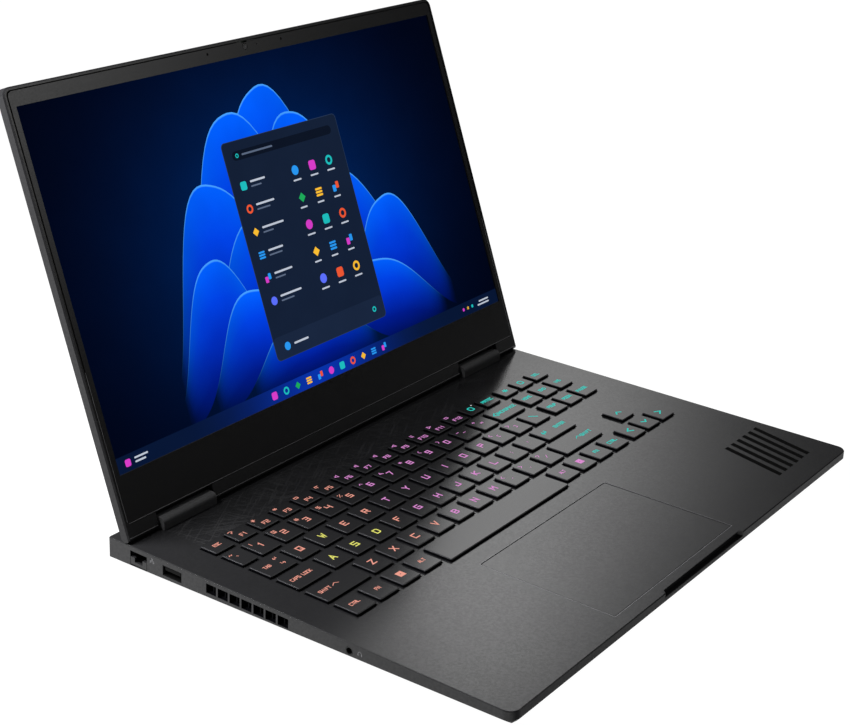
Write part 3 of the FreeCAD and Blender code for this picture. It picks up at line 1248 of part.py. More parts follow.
def main():
    os.makedirs("parts", exist_ok=True)
    caps_of = caps_by_node()
    caps = [rectangle for group in caps_of.values() for rectangle in group]

    export("top_case", top_case(caps))
    export("bottom_cover", bottom_cover())
    export("bottom_screws", bottom_screws())
    export("rubber_feet", rubber_feet())
    export("hinge_covers", both_sides(hinge_cover()))
    export("hinge_brackets", both_sides(hinge_bracket()))
    export("keyboard_plate", keyboard_plate())
    export("key_domes", Part.makeCompound([dome(*rectangle) for rectangle in caps]))
    for node, group in caps_of.items():
        export(node, Part.makeCompound([cap(*rectangle) for rectangle in group]))
    export("touchpad", touchpad())
    export("touchpad_bracket", touchpad_bracket())
    export("palm_rest_inlay", Part.makeCompound(inlay_bars(0, DECK_HEIGHT - INLAY_SINK, DECK_HEIGHT)))

    export("ethernet_jack", ethernet_jack())
    export("ethernet_jaw", ethernet_jaw())
    export("usb_ports", both_sides(mirrored(usb_port())))
    export("audio_jack", audio_jack())
    export("io_boards", io_boards())
    sockets = [flat_socket(*socket) for socket in rear_sockets()]
    export("hdmi_port", sockets[0])
    export("usb_c_ports", Part.makeCompound(sockets[1:]))
    export("dc_inlet", dc_inlet())

    export("mainboard", mainboard())
    export("processor_chips", processor_chips())
    export("memory_modules", memory_modules())
    export("ssd_module", ssd_module())
    export("wifi_card", wifi_card())
    export("heat_pipes", both_sides(heat_pipe()))
    export("fin_stacks", fin_stacks())
    export("fan_housings", both_sides(fan_housing()))
    export("fan_rotor_right", fan_rotor())
    export("fan_rotor_left", mirrored(fan_rotor()))
    export("battery", battery())
    export("speakers", both_sides(speaker()))

    export("lid_cover", opened(lid_cover()))
    export("display_bezel", opened(display_bezel()))
    export("lcd_panel", opened(panel_box(BEZEL_BACK, PANEL_BACK)))
    export("backlight_unit", opened(panel_box(PANEL_BACK, LID_FLOOR - SEAT)))
    export("webcam_module", opened(webcam_module()))
    export("webcam_lens", opened(webcam_lens()))
    export("microphones", opened(microphones()))
    export("camera_shutter", opened(camera_shutter()))
    export("hinge_shafts", opened(both_sides(hinge_shaft())))
    export("hinge_leaves", opened(both_sides(join(list(leaf_outline(0))))))


main()
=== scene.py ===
import json
import math

import bpy
from mathutils import Matrix, Vector


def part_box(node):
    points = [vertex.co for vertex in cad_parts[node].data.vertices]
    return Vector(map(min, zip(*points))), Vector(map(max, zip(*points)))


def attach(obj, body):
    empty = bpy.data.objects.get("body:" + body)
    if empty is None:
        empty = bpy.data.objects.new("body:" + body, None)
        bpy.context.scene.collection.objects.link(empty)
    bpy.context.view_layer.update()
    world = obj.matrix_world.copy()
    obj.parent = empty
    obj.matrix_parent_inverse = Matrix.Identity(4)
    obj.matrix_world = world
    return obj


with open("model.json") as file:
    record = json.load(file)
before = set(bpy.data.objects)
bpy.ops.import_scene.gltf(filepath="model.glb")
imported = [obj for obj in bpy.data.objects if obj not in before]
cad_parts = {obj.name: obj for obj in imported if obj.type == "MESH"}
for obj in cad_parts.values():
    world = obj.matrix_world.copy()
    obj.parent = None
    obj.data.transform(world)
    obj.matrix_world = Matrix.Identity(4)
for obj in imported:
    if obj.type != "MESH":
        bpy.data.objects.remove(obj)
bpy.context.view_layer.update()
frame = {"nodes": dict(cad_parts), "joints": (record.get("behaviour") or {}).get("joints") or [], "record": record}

MM = 0.001
scene = bpy.context.scene


def card(red, green, blue):
    """Linear colour from the 0 to 255 numbers of a colour card."""
    def linear(value):
        value /= 255
        return value / 12.92 if value <= 0.04045 else ((value + 0.055) / 1.055) ** 2.4
    return linear(red), linear(green), linear(blue), 1.0


def mm(x, y, z):
    """Place or size in metres from millimetres."""
    return x * MM, y * MM, z * MM


def joint_row(name):
    return next(row for row in frame["joints"] if row["name"] == name)


def body_of(node):
    """Name of the body that carries a CAD node."""
    return next(b for b, members in frame["record"]["behaviour"]["bodies"].items() if node in members)


def show(name, data):
    """New object in the scene."""
    made = bpy.data.objects.new(name, data)
    scene.collection.objects.link(made)
    return made


def new_node(tree, kind, links, settings):
    """New node in a tree; a capitalised setting is one of its sockets."""
    made = tree.nodes.new(kind)
    for name, value in settings.items():
        if name[0].isupper():
            made.inputs[name.replace("_", " ")].default_value = value
        else:
            setattr(made, name, value)
    for socket, output in dict(links).items():
        tree.links.new(output, made.inputs[socket])
    return made


def reckon(tree, operation, a, b):
    """Operation on an output and a second output or a fixed number."""
    made = new_node(tree, "ShaderNodeMath", {0: a}, {"operation": operation})
    if isinstance(b, float):
        made.inputs[1].default_value = b
    else:
        tree.links.new(b, made.inputs[1])
    return made.outputs[0]


# Finishes

# Places of the colour sockets among those of a mix node
MIX_FIRST, MIX_SECOND, MIX_RESULT = 6, 7, 2


class Finish:
    """One material: its tree, its shader and the piece's own coordinates."""

    def __init__(self, name, **sockets):
        self.material = bpy.data.materials.new(name)
        self.material.use_nodes = True
        self.tree = self.material.node_tree
        self.shader = self.tree.nodes["Principled BSDF"]
        self.place = self.tree.nodes.new("ShaderNodeTexCoord").outputs["Object"]
        for socket, value in sockets.items():
            self.shader.inputs[socket.replace("_", " ")].default_value = value

    def add(self, kind, links=(), **settings):
        return new_node(self.tree, "ShaderNode" + kind, links, settings)

    def feed(self, socket, output):
        self.tree.links.new(output, self.shader.inputs[socket])

    def grain(self, size, detail=3.0, stretch=(1, 1, 1)):
        """Noise whose specks are about this size in millimetres."""
        turned = self.add("Mapping", {"Vector": self.place}, Scale=stretch)
        noise = self.add("TexNoise", {"Vector": turned.outputs[0]}, Scale=1 / (size * MM), Detail=detail)
        return noise.outputs["Fac"]

    def shades(self, factor, *stops):
        """Colour ramp over (position, colour) stops."""
        ramp = self.add("ValToRGB", {"Fac": factor})
        elements = ramp.color_ramp.elements
        while len(elements) < len(stops):
            elements.new(0.5)
        for element, (position, colour) in zip(elements, stops):
            element.position = position
            element.color = colour
        return ramp.outputs["Color"]

    def spread(self, factor, low, high, start=0.3, end=0.7):
        """Value that goes from low to high while the factor goes from start to end."""
        made = self.add("MapRange", {"Value": factor}, From_Min=start, From_Max=end, To_Min=low, To_Max=high)
        return made.outputs["Result"]

    def reckon(self, operation, a, b):
        return reckon(self.tree, operation, a, b)

    def times(self, a, b):
        return self.reckon("MULTIPLY", a, b)

    def mix(self, factor, first, second):
        """Colour that goes from the first to the second; either may be a fixed colour."""
        made = self.add("Mix", data_type="RGBA")
        self.tree.links.new(factor, made.inputs["Factor"])
        for index, colour in ((MIX_FIRST, first), (MIX_SECOND, second)):
            if isinstance(colour, tuple):
                made.inputs[index].default_value = colour
            else:
                self.tree.links.new(colour, made.inputs[index])
        return made.outputs[MIX_RESULT]

    def relief(self, height, strength, depth):
        """Bump of a depth in millimetres."""
        made = self.add("Bump", {"Height": height}, Strength=strength, Distance=depth * MM)
        self.feed("Normal", made.outputs["Normal"])

    def facing(self, axis):
        """How far a face of the piece looks along an axis, from -1 to 1."""
        normal = self.add("TexCoord").outputs["Normal"]
        return self.add("SeparateXYZ", {"Vector": normal}).outputs[axis]

    def within(self, value, low, high, soft):
        """One inside a span of millimetres, nought outside."""
        up = self.spread(value, 0, 1, (low - soft) * MM, low * MM)
        down = self.spread(value, 1, 0, high * MM, (high + soft) * MM)
        return self.times(up, down)

    def zone(self, spans):
        """One inside a box of spans along X, Y and Z, nought outside."""
        axes = self.add("SeparateXYZ", {"Vector": self.place}).outputs
        parts = [self.within(value, *span) for value, span in zip(axes, spans)]
        whole = parts[0]
        for part in parts[1:]:
            whole = self.times(whole, part)
        return whole


PAINT_DARK = card(19, 19, 20)
PAINT_LIGHT = card(23, 23, 24)
# Black that stands for painted shade, on the deck's inner faces and on the key caps' sides
PAINTED_SHADE_BLACK = card(3, 3, 4)
HATCH_TINT = card(33, 33, 34)
PAINT_RELIEF = 0.3
PAINT_DEPTH = 0.02
PAINT_SPECK = 1.5
PAINT_CLOUD = 30.0
FINE_SPECK = 0.8
SPECK_SHARE = 0.6
SIDE, FRONT, UP = 0, 1, 2
# Paint is dull on a face that looks against an axis by the first or more, and glossy from the second on
FACING_AWAY, FACING_PAST = -0.9, -0.5
# Zones of the deck's paint, with painted shade in the finger notch and on the inner faces: from, to and softness
# of the edge in millimetres, along X, Y and Z
HATCHED_STRIP = ((-158.0, 158.0, 3.0), (-22.5, 2.5, 0.6))
FINGER_NOTCH = ((-44.4, 44.4, 0.1), (-236.9, -235.0, 0.1), (12.9, 16.5, 0.1))
SHADED_INNER_FACES = ((-184.1, 184.1, 0.1), (-230.0, 21.3, 0.1), (0.0, 15.2, 0.1))
# Share of painted shade that darkens the finger notch
NOTCH_PAINTED_SHADE = 0.3
# Turn in degrees, length and spacing in millimetres of each layer of scratches
SCRATCHES = ((34, 40.0, 0.9), (-27, 36.0, 1.0), (78, 24.0, 0.9))


def satin_paint(name, rough=0.18, gloss=0.5, dark=PAINT_DARK, light=PAINT_LIGHT, dull=0.06, side=0.65):
    """Satin black paint over blasted metal, duller on faces that look to the front or the left."""
    f = Finish(name)
    speckle = f.grain(PAINT_SPECK, 4.0)
    cloud = f.grain(PAINT_CLOUD, 2.0)
    tone = f.reckon("ADD", f.times(speckle, SPECK_SHARE), f.times(cloud, 1 - SPECK_SHARE))
    f.feed("Roughness", f.spread(f.grain(FINE_SPECK), rough - 0.01, rough + 0.01))
    shine = f.spread(f.facing(FRONT), dull * gloss, gloss, FACING_AWAY, FACING_PAST)
    shine = f.times(shine, f.spread(f.facing(SIDE), side, 1.0, FACING_AWAY, FACING_PAST))
    shine = f.times(shine, f.spread(speckle, 0.85, 1.15, 0.35, 0.65))
    f.feed("Specular IOR Level", shine)
    return f, speckle, f.shades(tone, (0.3, dark), (0.7, light)), shine


def hatching(f, turn, length, space):
    """Fine broken scratches at an angle."""
    turned = f.add("Mapping", {"Vector": f.place}, Rotation=(0, 0, math.radians(turn)))
    drawn = f.add("Mapping", {"Vector": turned.outputs[0]}, Scale=(1 / (length * MM), 1 / (space * MM), 1))
    scratches = f.add("TexNoise", {"Vector": drawn.outputs[0]}, Scale=1.0, Detail=0.0)
    return f.spread(scratches.outputs["Fac"], 0, 1, 0.62, 0.7)


def deck_finish():
    """Paint with a hatched strip behind the keys, painted shade darkening the finger notch and black painted shade
    on the inner faces.
    """
    f, speckle, paint, shine = satin_paint("deck_paint")
    first, second, third = (hatching(f, *layer) for layer in SCRATCHES)
    crossed = f.reckon("MAXIMUM", f.reckon("MAXIMUM", first, second), third)
    lines = f.times(crossed, f.zone(HATCHED_STRIP))
    notch = f.times(f.zone(FINGER_NOTCH), NOTCH_PAINTED_SHADE)
    # Painted shade: the notch is darkened and the inner faces are blackened where shade would fall
    black = f.reckon("MAXIMUM", notch, f.zone(SHADED_INNER_FACES))
    f.feed("Base Color", f.mix(black, f.mix(lines, paint, HATCH_TINT), PAINTED_SHADE_BLACK))
    f.feed("Specular IOR Level", f.times(shine, f.spread(black, 1.0, 0.05, 0.0, 1.0)))
    f.relief(f.reckon("SUBTRACT", speckle, lines), PAINT_RELIEF, PAINT_DEPTH)
    return f.material


def plain_paint_finish(name, *settings):
    """Satin paint with nothing on it."""
    f, speckle, paint, _ = satin_paint(name, *settings)
    f.feed("Base Color", paint)
    f.relief(speckle, PAINT_RELIEF, PAINT_DEPTH)
    return f.material


def lid_finish():
    """Paint that keeps its gloss to the front and is duller on the lid's upper edge."""
    f, speckle, paint, shine = satin_paint("lid_paint", dull=0.5, side=0.4)
    f.feed("Base Color", paint)
    edge = f.spread(f.facing(UP), 1.0, 0.15, 0.45, 0.85)
    f.feed("Specular IOR Level", f.times(shine, edge))
    f.relief(speckle, PAINT_RELIEF, PAINT_DEPTH)
    return f.material


def moulded_finish(name, dark, light, rough, speck=0.4, depth=0.04, specular=0.4):
    """Moulded plastic or rubber with a spark-eroded texture."""
    f = Finish(name, Specular_IOR_Level=specular)
    speckle = f.grain(speck, 5.0)
    f.feed("Base Color", f.shades(speckle, (0.3, dark), (0.7, light)))
    f.feed("Roughness", f.spread(f.grain(3 * speck), rough - 0.06, rough + 0.06))
    f.relief(speckle, 0.3, depth)
    return f.material


def cap_finish():
    """Key caps: satin tops like the deck, bevels lightened as a painted highlight, sides blackened as painted
    shade.
    """
    f = Finish("cap_plastic")
    speckle = f.grain(0.25, 3.0)
    top = f.shades(speckle, (0.3, PAINT_DARK), (0.7, PAINT_LIGHT))
    up = f.facing(UP)
    # Painted light by facing: sides black as painted shade, bevels a lighter grey as painted highlight, tops in
    # the paint's own tone
    painted_edge_light_and_shade = f.mix(f.spread(up, 0, 1, 0.3, 0.5), PAINTED_SHADE_BLACK, card(34, 34, 36))
    f.feed("Base Color", f.mix(f.spread(up, 0, 1, 0.85, 0.95), painted_edge_light_and_shade, top))
    f.feed("Specular IOR Level", f.spread(up, 0.03, 0.5, 0.5, 0.9))
    f.feed("Roughness", f.spread(f.grain(FINE_SPECK), 0.17, 0.2))
    f.relief(speckle, 0.04, PAINT_DEPTH)
    return f.material


def drawn_metal_finish(name, dark, light, rough, stretch=(1, 12, 1), metallic=1.0, specular=0.5):
    """Metal with fine lines along one direction."""
    f = Finish(name, Metallic=metallic, Specular_IOR_Level=specular)
    lines = f.grain(2.0, 4.0, stretch)
    f.feed("Base Color", f.shades(lines, (0.3, dark), (0.7, light)))
    f.feed("Roughness", f.spread(lines, rough - 0.07, rough + 0.07))
    f.relief(lines, 0.15, 0.02)
    return f.material


def board_finish():
    """Circuit board: lacquer over copper lanes and small tinned pads."""
    f = Finish("board_lacquer", Roughness=0.35)
    lanes = f.add("TexBrick", {"Vector": f.place}, Scale=1 / (4 * MM), Mortar_Size=0.06,
                  Color1=card(14, 46, 34), Color2=card(18, 56, 40), Mortar=card(30, 84, 56))
    pads = f.add("TexVoronoi", {"Vector": f.place}, Scale=1 / (3 * MM))
    spots = f.spread(pads.outputs["Distance"], 1, 0, 0.16, 0.2)
    f.feed("Base Color", f.mix(spots, lanes.outputs["Color"], card(170, 168, 160)))
    f.relief(lanes.outputs["Fac"], 0.2, 0.03)
    return f.material


def glass_finish(name, tint, rough):
    """Dark coated glass with a faint smear in its gloss."""
    f = Finish(name, IOR=1.5, Coat_Weight=0.2, Coat_Roughness=0.1)
    haze = f.grain(12.0, 3.0)
    f.feed("Base Color", f.shades(haze, (0.35, tint), (0.7, tuple(min(1, 1.3 * c) for c in tint))))
    f.feed("Roughness", f.spread(haze, rough, rough + 0.08))
    return f.material


def light_finish(name, strength, ripple):
    """Lit print: the piece's own tint, glowing, with a faint unevenness."""
    f = Finish(name, Base_Color=(0.001, 0.001, 0.001, 1), Roughness=0.5, Specular_IOR_Level=0.0)
    tint = f.add("Attribute", attribute_name="tint").outputs["Color"]
    f.feed("Emission Color", tint)
    f.feed("Emission Strength", f.spread(f.grain(ripple, 2.0), 0.94 * strength, 1.04 * strength))
    return f.material


NOT_CAPS = ("key_domes", "keyboard_plate")
KEY_CAPS = [node for node in frame["nodes"] if node.startswith("key") and node not in NOT_CAPS]
INLAY_BLACK = moulded_finish("inlay_black", card(2, 2, 2), card(4, 4, 4), 0.5, 0.8, 0.02, 0.03)
# Each finish and the CAD nodes that it covers
FINISHES = (
    (deck_finish(), "top_case"),
    (lid_finish(), "lid_cover"),
    # Painted light: the hinge covers take a lighter copy of the body paint, which makes up for the little light
    # their faces get
    (plain_paint_finish("hinge_paint", 0.4, 0.25, card(54, 54, 55), card(62, 62, 63)), "hinge_covers"),
    (plain_paint_finish("jaw_paint"), "ethernet_jaw"),
    (moulded_finish("tray_plastic", card(18, 18, 19), card(26, 26, 27), 0.5), "bottom_cover"),
    (moulded_finish("bezel_plastic", card(9, 9, 10), card(13, 13, 14), 0.18, 0.25, 0.004, 0.25),
     "display_bezel", "camera_shutter"),
    (cap_finish(), *KEY_CAPS),
    (plain_paint_finish("pad_glass"), "touchpad"),
    (INLAY_BLACK, "palm_rest_inlay"),
    (glass_finish("panel_glass", card(6, 8, 14), 0.3), "lcd_panel"),
    (glass_finish("lens_glass", card(8, 8, 12), 0.05), "webcam_lens"),
    (moulded_finish("black_plastic", card(10, 10, 11), card(16, 16, 17), 0.5), "ethernet_jack", "audio_jack",
     "dc_inlet", "fan_housings", "fan_rotor_left", "fan_rotor_right", "speakers", "microphones"),
    (moulded_finish("rubber", card(16, 16, 16), card(24, 24, 24), 0.8, 0.6, 0.08),
     "rubber_feet", "key_domes"),
    (moulded_finish("film_stack", card(196, 198, 202), card(214, 216, 220), 0.5, 6.0, 0.01),
     "backlight_unit"),
    (moulded_finish("chip_ceramic", card(52, 52, 54), card(66, 66, 68), 0.35), "processor_chips"),
    (moulded_finish("cell_wrap", card(22, 22, 25), card(34, 34, 37), 0.4, 5.0, 0.1), "battery"),
    (drawn_metal_finish("copper", card(172, 98, 62), card(206, 126, 84), 0.3), "heat_pipes"),
    (drawn_metal_finish("fin_metal", card(3, 3, 4), card(7, 7, 8), 0.5, (12, 12, 1), 0.0, 0.03),
     "fin_stacks"),
    (drawn_metal_finish("socket_black", card(3, 3, 3), card(7, 7, 7), 0.45, (1, 12, 1), 0.0, 0.06),
     "usb_ports"),
    (drawn_metal_finish("drawn_steel", card(104, 105, 108), card(134, 135, 138), 0.35), "hdmi_port",
     "usb_c_ports", "bottom_screws", "hinge_shafts", "hinge_leaves", "hinge_brackets"),
    (drawn_metal_finish("plate_lacquer", card(20, 20, 21), card(30, 30, 31), 0.5, metallic=0.2),
     "keyboard_plate", "touchpad_bracket"),
    (board_finish(), "mainboard", "io_boards", "memory_modules", "ssd_module", "wifi_card", "webcam_module"),
)
for finish, *members in FINISHES:
    for node in members:
        for holder in frame["nodes"][node].material_slots:
            holder.material = finish

SCREEN_LIGHT = light_finish("screen_light", 1.0, 25.0)
LEGEND_LIGHT = light_finish("legend_light", 0.9, 2.0)
WALL_PRINT = moulded_finish("wall_print", card(84, 84, 86), card(94, 94, 96), 0.6)
# Light grey for painted highlights along the edges of the lid and of the touchpad's pocket
EDGE_HIGHLIGHT = moulded_finish("edge_trim", card(92, 92, 94), card(108, 108, 110), 0.4, 0.5, 0.005, 0.2)
WINDOW_GLASS = glass_finish("window_glass", card(26, 26, 28), 0.14)
WINDOW_ALPHA = 0.7
WINDOW_GLASS.node_tree.nodes["Principled BSDF"].inputs["Alpha"].default_value = WINDOW_ALPHA
CONTACT_GOLD = drawn_metal_finish("contact_gold", card(190, 150, 80), card(220, 180, 104), 0.25)
WIRE_MESH = drawn_metal_finish("wire_mesh", card(18, 18, 19), card(30, 30, 31), 0.5, metallic=0.4)


# Flat work: prisms laid on a plane, whose place() takes across, along and out in millimetres

class FlatWork:
    """Points, faces and tints of one piece while it is being made."""

    def __init__(self, place):
        self.place = place
        self.points = []
        self.tints = []
        self.faces = []

    def put(self, points, faces, tints):
        first = len(self.points)
        self.points += [self.place(*p) for p in points]
        self.tints += tints
        self.faces += [[first + i for i in face] for face in faces]

    def plate(self, outline, tint, back, front):
        """Prism over an anticlockwise outline."""
        n = len(outline)
        points = [(u, v, back) for u, v in outline] + [(u, v, front) for u, v in outline]
        faces = [list(range(n - 1, -1, -1)), list(range(n, 2 * n))]
        faces += [[i, (i + 1) % n, n + (i + 1) % n, n + i] for i in range(n)]
        self.put(points, faces, [tint] * (2 * n))

    def field(self, rows, tints, back, front):
        """Thin slab over a grid of rows, from the lowest row up, with a tint for each point."""
        high, wide = len(rows), len(rows[0])
        flat = [p for row in rows for p in row]
        hues = [t for row in tints for t in row]
        count = len(flat)
        points = [(u, v, back) for u, v in flat] + [(u, v, front) for u, v in flat]
        faces = []
        for r in range(high - 1):
            for c in range(wide - 1):
                a = r * wide + c
                quad = [a, a + 1, a + wide + 1, a + wide]
                faces.append([count + i for i in quad])
                faces.append(quad[::-1])
        rim = list(range(wide)) + [r * wide + wide - 1 for r in range(1, high)]
        rim += [(high - 1) * wide + c for c in range(wide - 2, -1, -1)]
        rim += [r * wide for r in range(high - 2, 0, -1)]
        for i, a in enumerate(rim):
            b = rim[(i + 1) % len(rim)]
            faces.append([a, b, count + b, count + a])
        self.put(points, faces, hues + hues)

    def stroke(self, path, width, tint, back, front):
        """Ribbon with mitred corners along a path; a path that returns to its start is closed."""
        closed = len(path) > 2 and path[0] == path[-1]
        knots = [Vector(p) for p in (path[:-1] if closed else path)]
        n = len(knots)
        half = width / 2
        runs = [(knots[(i + 1) % n] - knots[i]).normalized() for i in range(n if closed else n - 1)]
        points = []
        for i, knot in enumerate(knots):
            before = runs[i - 1] if closed or i else runs[0]
            after = runs[i] if closed or i < n - 1 else runs[-1]
            side = Vector((-before.y - after.y, before.x + after.x)).normalized()
            reach = half / max(0.4, side.dot(Vector((-after.y, after.x))))
            if not closed:
                knot = knot - before * half if i == 0 else knot + after * half if i == n - 1 else knot
            left, right = knot + side * reach, knot - side * reach
            points += [(*left, front), (*right, front), (*right, back), (*left, back)]
        faces = []
        for i in range(n if closed else n - 1):
            a, b = 4 * i, 4 * ((i + 1) % n)
            faces += [[a + 1, b + 1, b, a], [a, b, b + 3, a + 3], [a + 2, b + 2, b + 1, a + 1],
                      [a + 3, b + 3, b + 2, a + 2]]
        if not closed:
            e = 4 * (n - 1)
            faces += [[0, 3, 2, 1], [e + 1, e + 2, e + 3, e]]
        self.put(points, faces, [tint] * len(points))

    def piece(self, name, material, body):
        """Finished piece, riding on a body."""
        mesh = bpy.data.meshes.new(name)
        mesh.from_pydata(self.points, [], self.faces)
        hues = mesh.attributes.new("tint", "FLOAT_COLOR", "POINT")
        hues.data.foreach_set("color", [channel for tint in self.tints for channel in tint])
        mesh.materials.append(material)
        made = show(name, mesh)
        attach(made, body)
        return made


def level_plane(height):
    """Place of flat work on a level face at a height in millimetres."""
    return lambda u, v, n: (u * MM, v * MM, (height + n) * MM)


def rounded(u0, u1, v0, v1, radius, steps=5):
    """Anticlockwise outline of a rectangle with round corners."""
    outline = []
    corners = ((u1 - radius, v0 + radius, -90), (u1 - radius, v1 - radius, 0), (u0 + radius, v1 - radius, 90),
               (u0 + radius, v0 + radius, 180))
    for cu, cv, start in corners:
        for i in range(steps + 1):
            turn = math.radians(start + 90 * i / steps)
            outline.append((cu + radius * math.cos(turn), cv + radius * math.sin(turn)))
    return outline


def disc(u, v, radius, steps=20):
    return [(u + radius * math.cos(2 * math.pi * i / steps), v + radius * math.sin(2 * math.pi * i / steps))
            for i in range(steps)]


def blend(first, second, share):
    return tuple(a + (b - a) * share for a, b in zip(first, second))


def along_ramp(stops, t):
    """Tint at a place along (position, tint) stops."""
    for (t0, a), (t1, b) in zip(stops, stops[1:]):
        if t <= t1:
            return blend(a, b, max(0.0, (t - t0) / (t1 - t0)))
    return stops[-1][1]


# Key legends

# Strokes of each letter on a grid 4 wide and 6 high; a pair of digits is a point, a space starts a new stroke
LETTERS = {
    "A": "002640 1232", "B": "00063645443303 3342413000", "C": "46060040", "D": "00063645413000",
    "E": "46060040 0333", "F": "460600 0333", "G": "460600404323", "H": "0006 4046 0343", "I": "2026",
    "J": "46400002", "K": "0006 460340", "L": "060040", "M": "0006234640", "N": "00064046", "O": "0006464000",
    "P": "0006464303", "Q": "0006464000 2240", "R": "0006464303 2340", "S": "460603434000", "T": "0646 2026",
    "U": "06004046", "V": "062046", "W": "0610243046", "X": "0046 0640", "Y": "062346 2320", "Z": "06460040",
    "0": "0006464000", "1": "152620", "2": "064643030040", "3": "06464000 1343", "4": "060343 4640",
    "5": "460603434000", "6": "460600404303", "7": "064620", "8": "0006464000 0343", "9": "430306464000",
    "-": "0343", "=": "0242 0444", "[": "36161030", "]": "16363010", ";": "2021 2425", "'": "2426",
    ",": "1021", ".": "2021", "/": "0046", "\\": "0640", "`": "1624", "<": "360330", ">": "164310",
    "^": "022542", "v": "042144", "~": "02143244", "o": "103041453616050110", "+": "2125 0343",
    "*": "1135 1531 0343", "_": "0040", " ": "",
    "!": "2226 2021", "@": "4000064641212434", "#": "1016 3036 0242 0444", "$": "460603434000 2026",
    "%": "0046 0516 3041", "&": "401526140241", "(": "36141230", ")": "16343210", "?": "0526454322 2021",
    "{": "464303 150311", "}": "060343 354331", "s": "2026 0343 1135", "w": "0105454101", "u": "010545 2024",
    "m": "02041436301202", "q": "40460340", "b": "1016 3036", "p": "00064300",
}
RED = card(250, 168, 150)
YELLOW = card(244, 242, 120)
VIOLET = card(232, 150, 222)
TEAL = card(50, 212, 200)
SPOT_WHITE = card(236, 240, 240)
LEGEND_BACK = -0.01
LEGEND_FRONT = 0.03
# Styles: place from the cap's middle, height and weight in millimetres, width of a letter over its height
LETTER = (0.0, 0.5, 3.9, 0.78, 0.8)
DIGIT = (0.0, 0.2, 3.6, 0.72, 0.8)
SHIFT_SIGN = (-4.2, 4.0, 2.5, 0.4, 0.9)
POINT_SIGN = (-0.3, 0.3, 2.4, 0.4, 0.9)
FUNCTION = (0.2, -1.9, 2.6, 0.5, 0.72)
FUNCTION_SIGN = (-3.8, 3.9, 2.4, 0.46, 1.1)
WORD = (0.0, 0.6, 2.1, 0.42, 0.64)
WIDE_WORD = (0.0, 0.4, 2.3, 0.55, 0.74)
KEY_SIGN = (0.0, 0.3, 3.8, 0.85, 1.0)
ARROW = (0.5, 0.4, 4.0, 0.95, 1.2)
MENU_SIGN = (0.3, 0.4, 2.6, 1.9, 1.0)
POWER_SPOT = (4.7, 4.0, 1.2, 0.8, 1.0)
LEFT_SHIFT_ARROW = (-1.4, 1.0, 2.8, 0.42, 1.6)
RIGHT_SHIFT_ARROW = (4.6, 0.6, 3.4, 0.55, 1.5)
LETTER_STEP = 1.3
LETTER_COLUMNS, LETTER_ROWS = 4, 6
# Depth of a cap's top face, least gap between caps and least width of a whole cap, in millimetres
TOP_SKIN = 0.05
CAP_GAP = 2.0
LEAST_CAP = 3.0


def moved(style, du, dv=None):
    """Style at another place on the cap."""
    return (du, style[1] if dv is None else dv) + style[2:]


def write(work, span, words, style, tint):
    """Text round a place on a cap, in the stroke letters."""
    du, dv, high, weight, wide = style
    letter = wide * high
    step = letter * LETTER_STEP
    start = (span[0] + span[1]) / 2 + du - (len(words) - 1) * step / 2
    v = (span[2] + span[3]) / 2 + dv
    for i, sign in enumerate(words):
        for run in LETTERS[sign].split():
            path = []
            for k in range(0, len(run), 2):
                across, up = int(run[k]) / LETTER_COLUMNS - 0.5, int(run[k + 1]) / LETTER_ROWS - 0.5
                path.append((start + i * step + across * letter, v + up * high))
            work.stroke(path, weight, tint, LEGEND_BACK, LEGEND_FRONT)


def cap_tops(node):
    """Spans of a node's flat cap tops from left to right, as x0, x1, y0, y1, and the tops' height."""
    mesh = frame["nodes"][node].data
    top = max(v.co.z for v in mesh.vertices)
    flat = sorted((v.co.x / MM, v.co.y / MM) for v in mesh.vertices if v.co.z > top - TOP_SKIN * MM)
    groups = [[flat[0]]]
    for point in flat[1:]:
        if point[0] - groups[-1][-1][0] > CAP_GAP:
            groups.append([])
        groups[-1].append(point)
    spans = []
    for group in groups:
        xs, ys = zip(*group)
        spans.append((min(xs), max(xs), min(ys), max(ys)))
    return merge_spans(spans), top / MM


def merge_spans(spans):
    """A wide cap has vertices only at its ends, so its two halves are put together."""
    merged = []
    for span in spans:
        if merged and merged[-1][1] - merged[-1][0] < LEAST_CAP:
            last = merged.pop()
            span = (last[0], span[1], min(last[2], span[2]), max(last[3], span[3]))
        merged.append(span)
    return merged


def each(first, words, style, tint):
    """One text on each cap, from a given cap on."""
    return [(first + i, text, style, tint) for i, text in enumerate(words)]


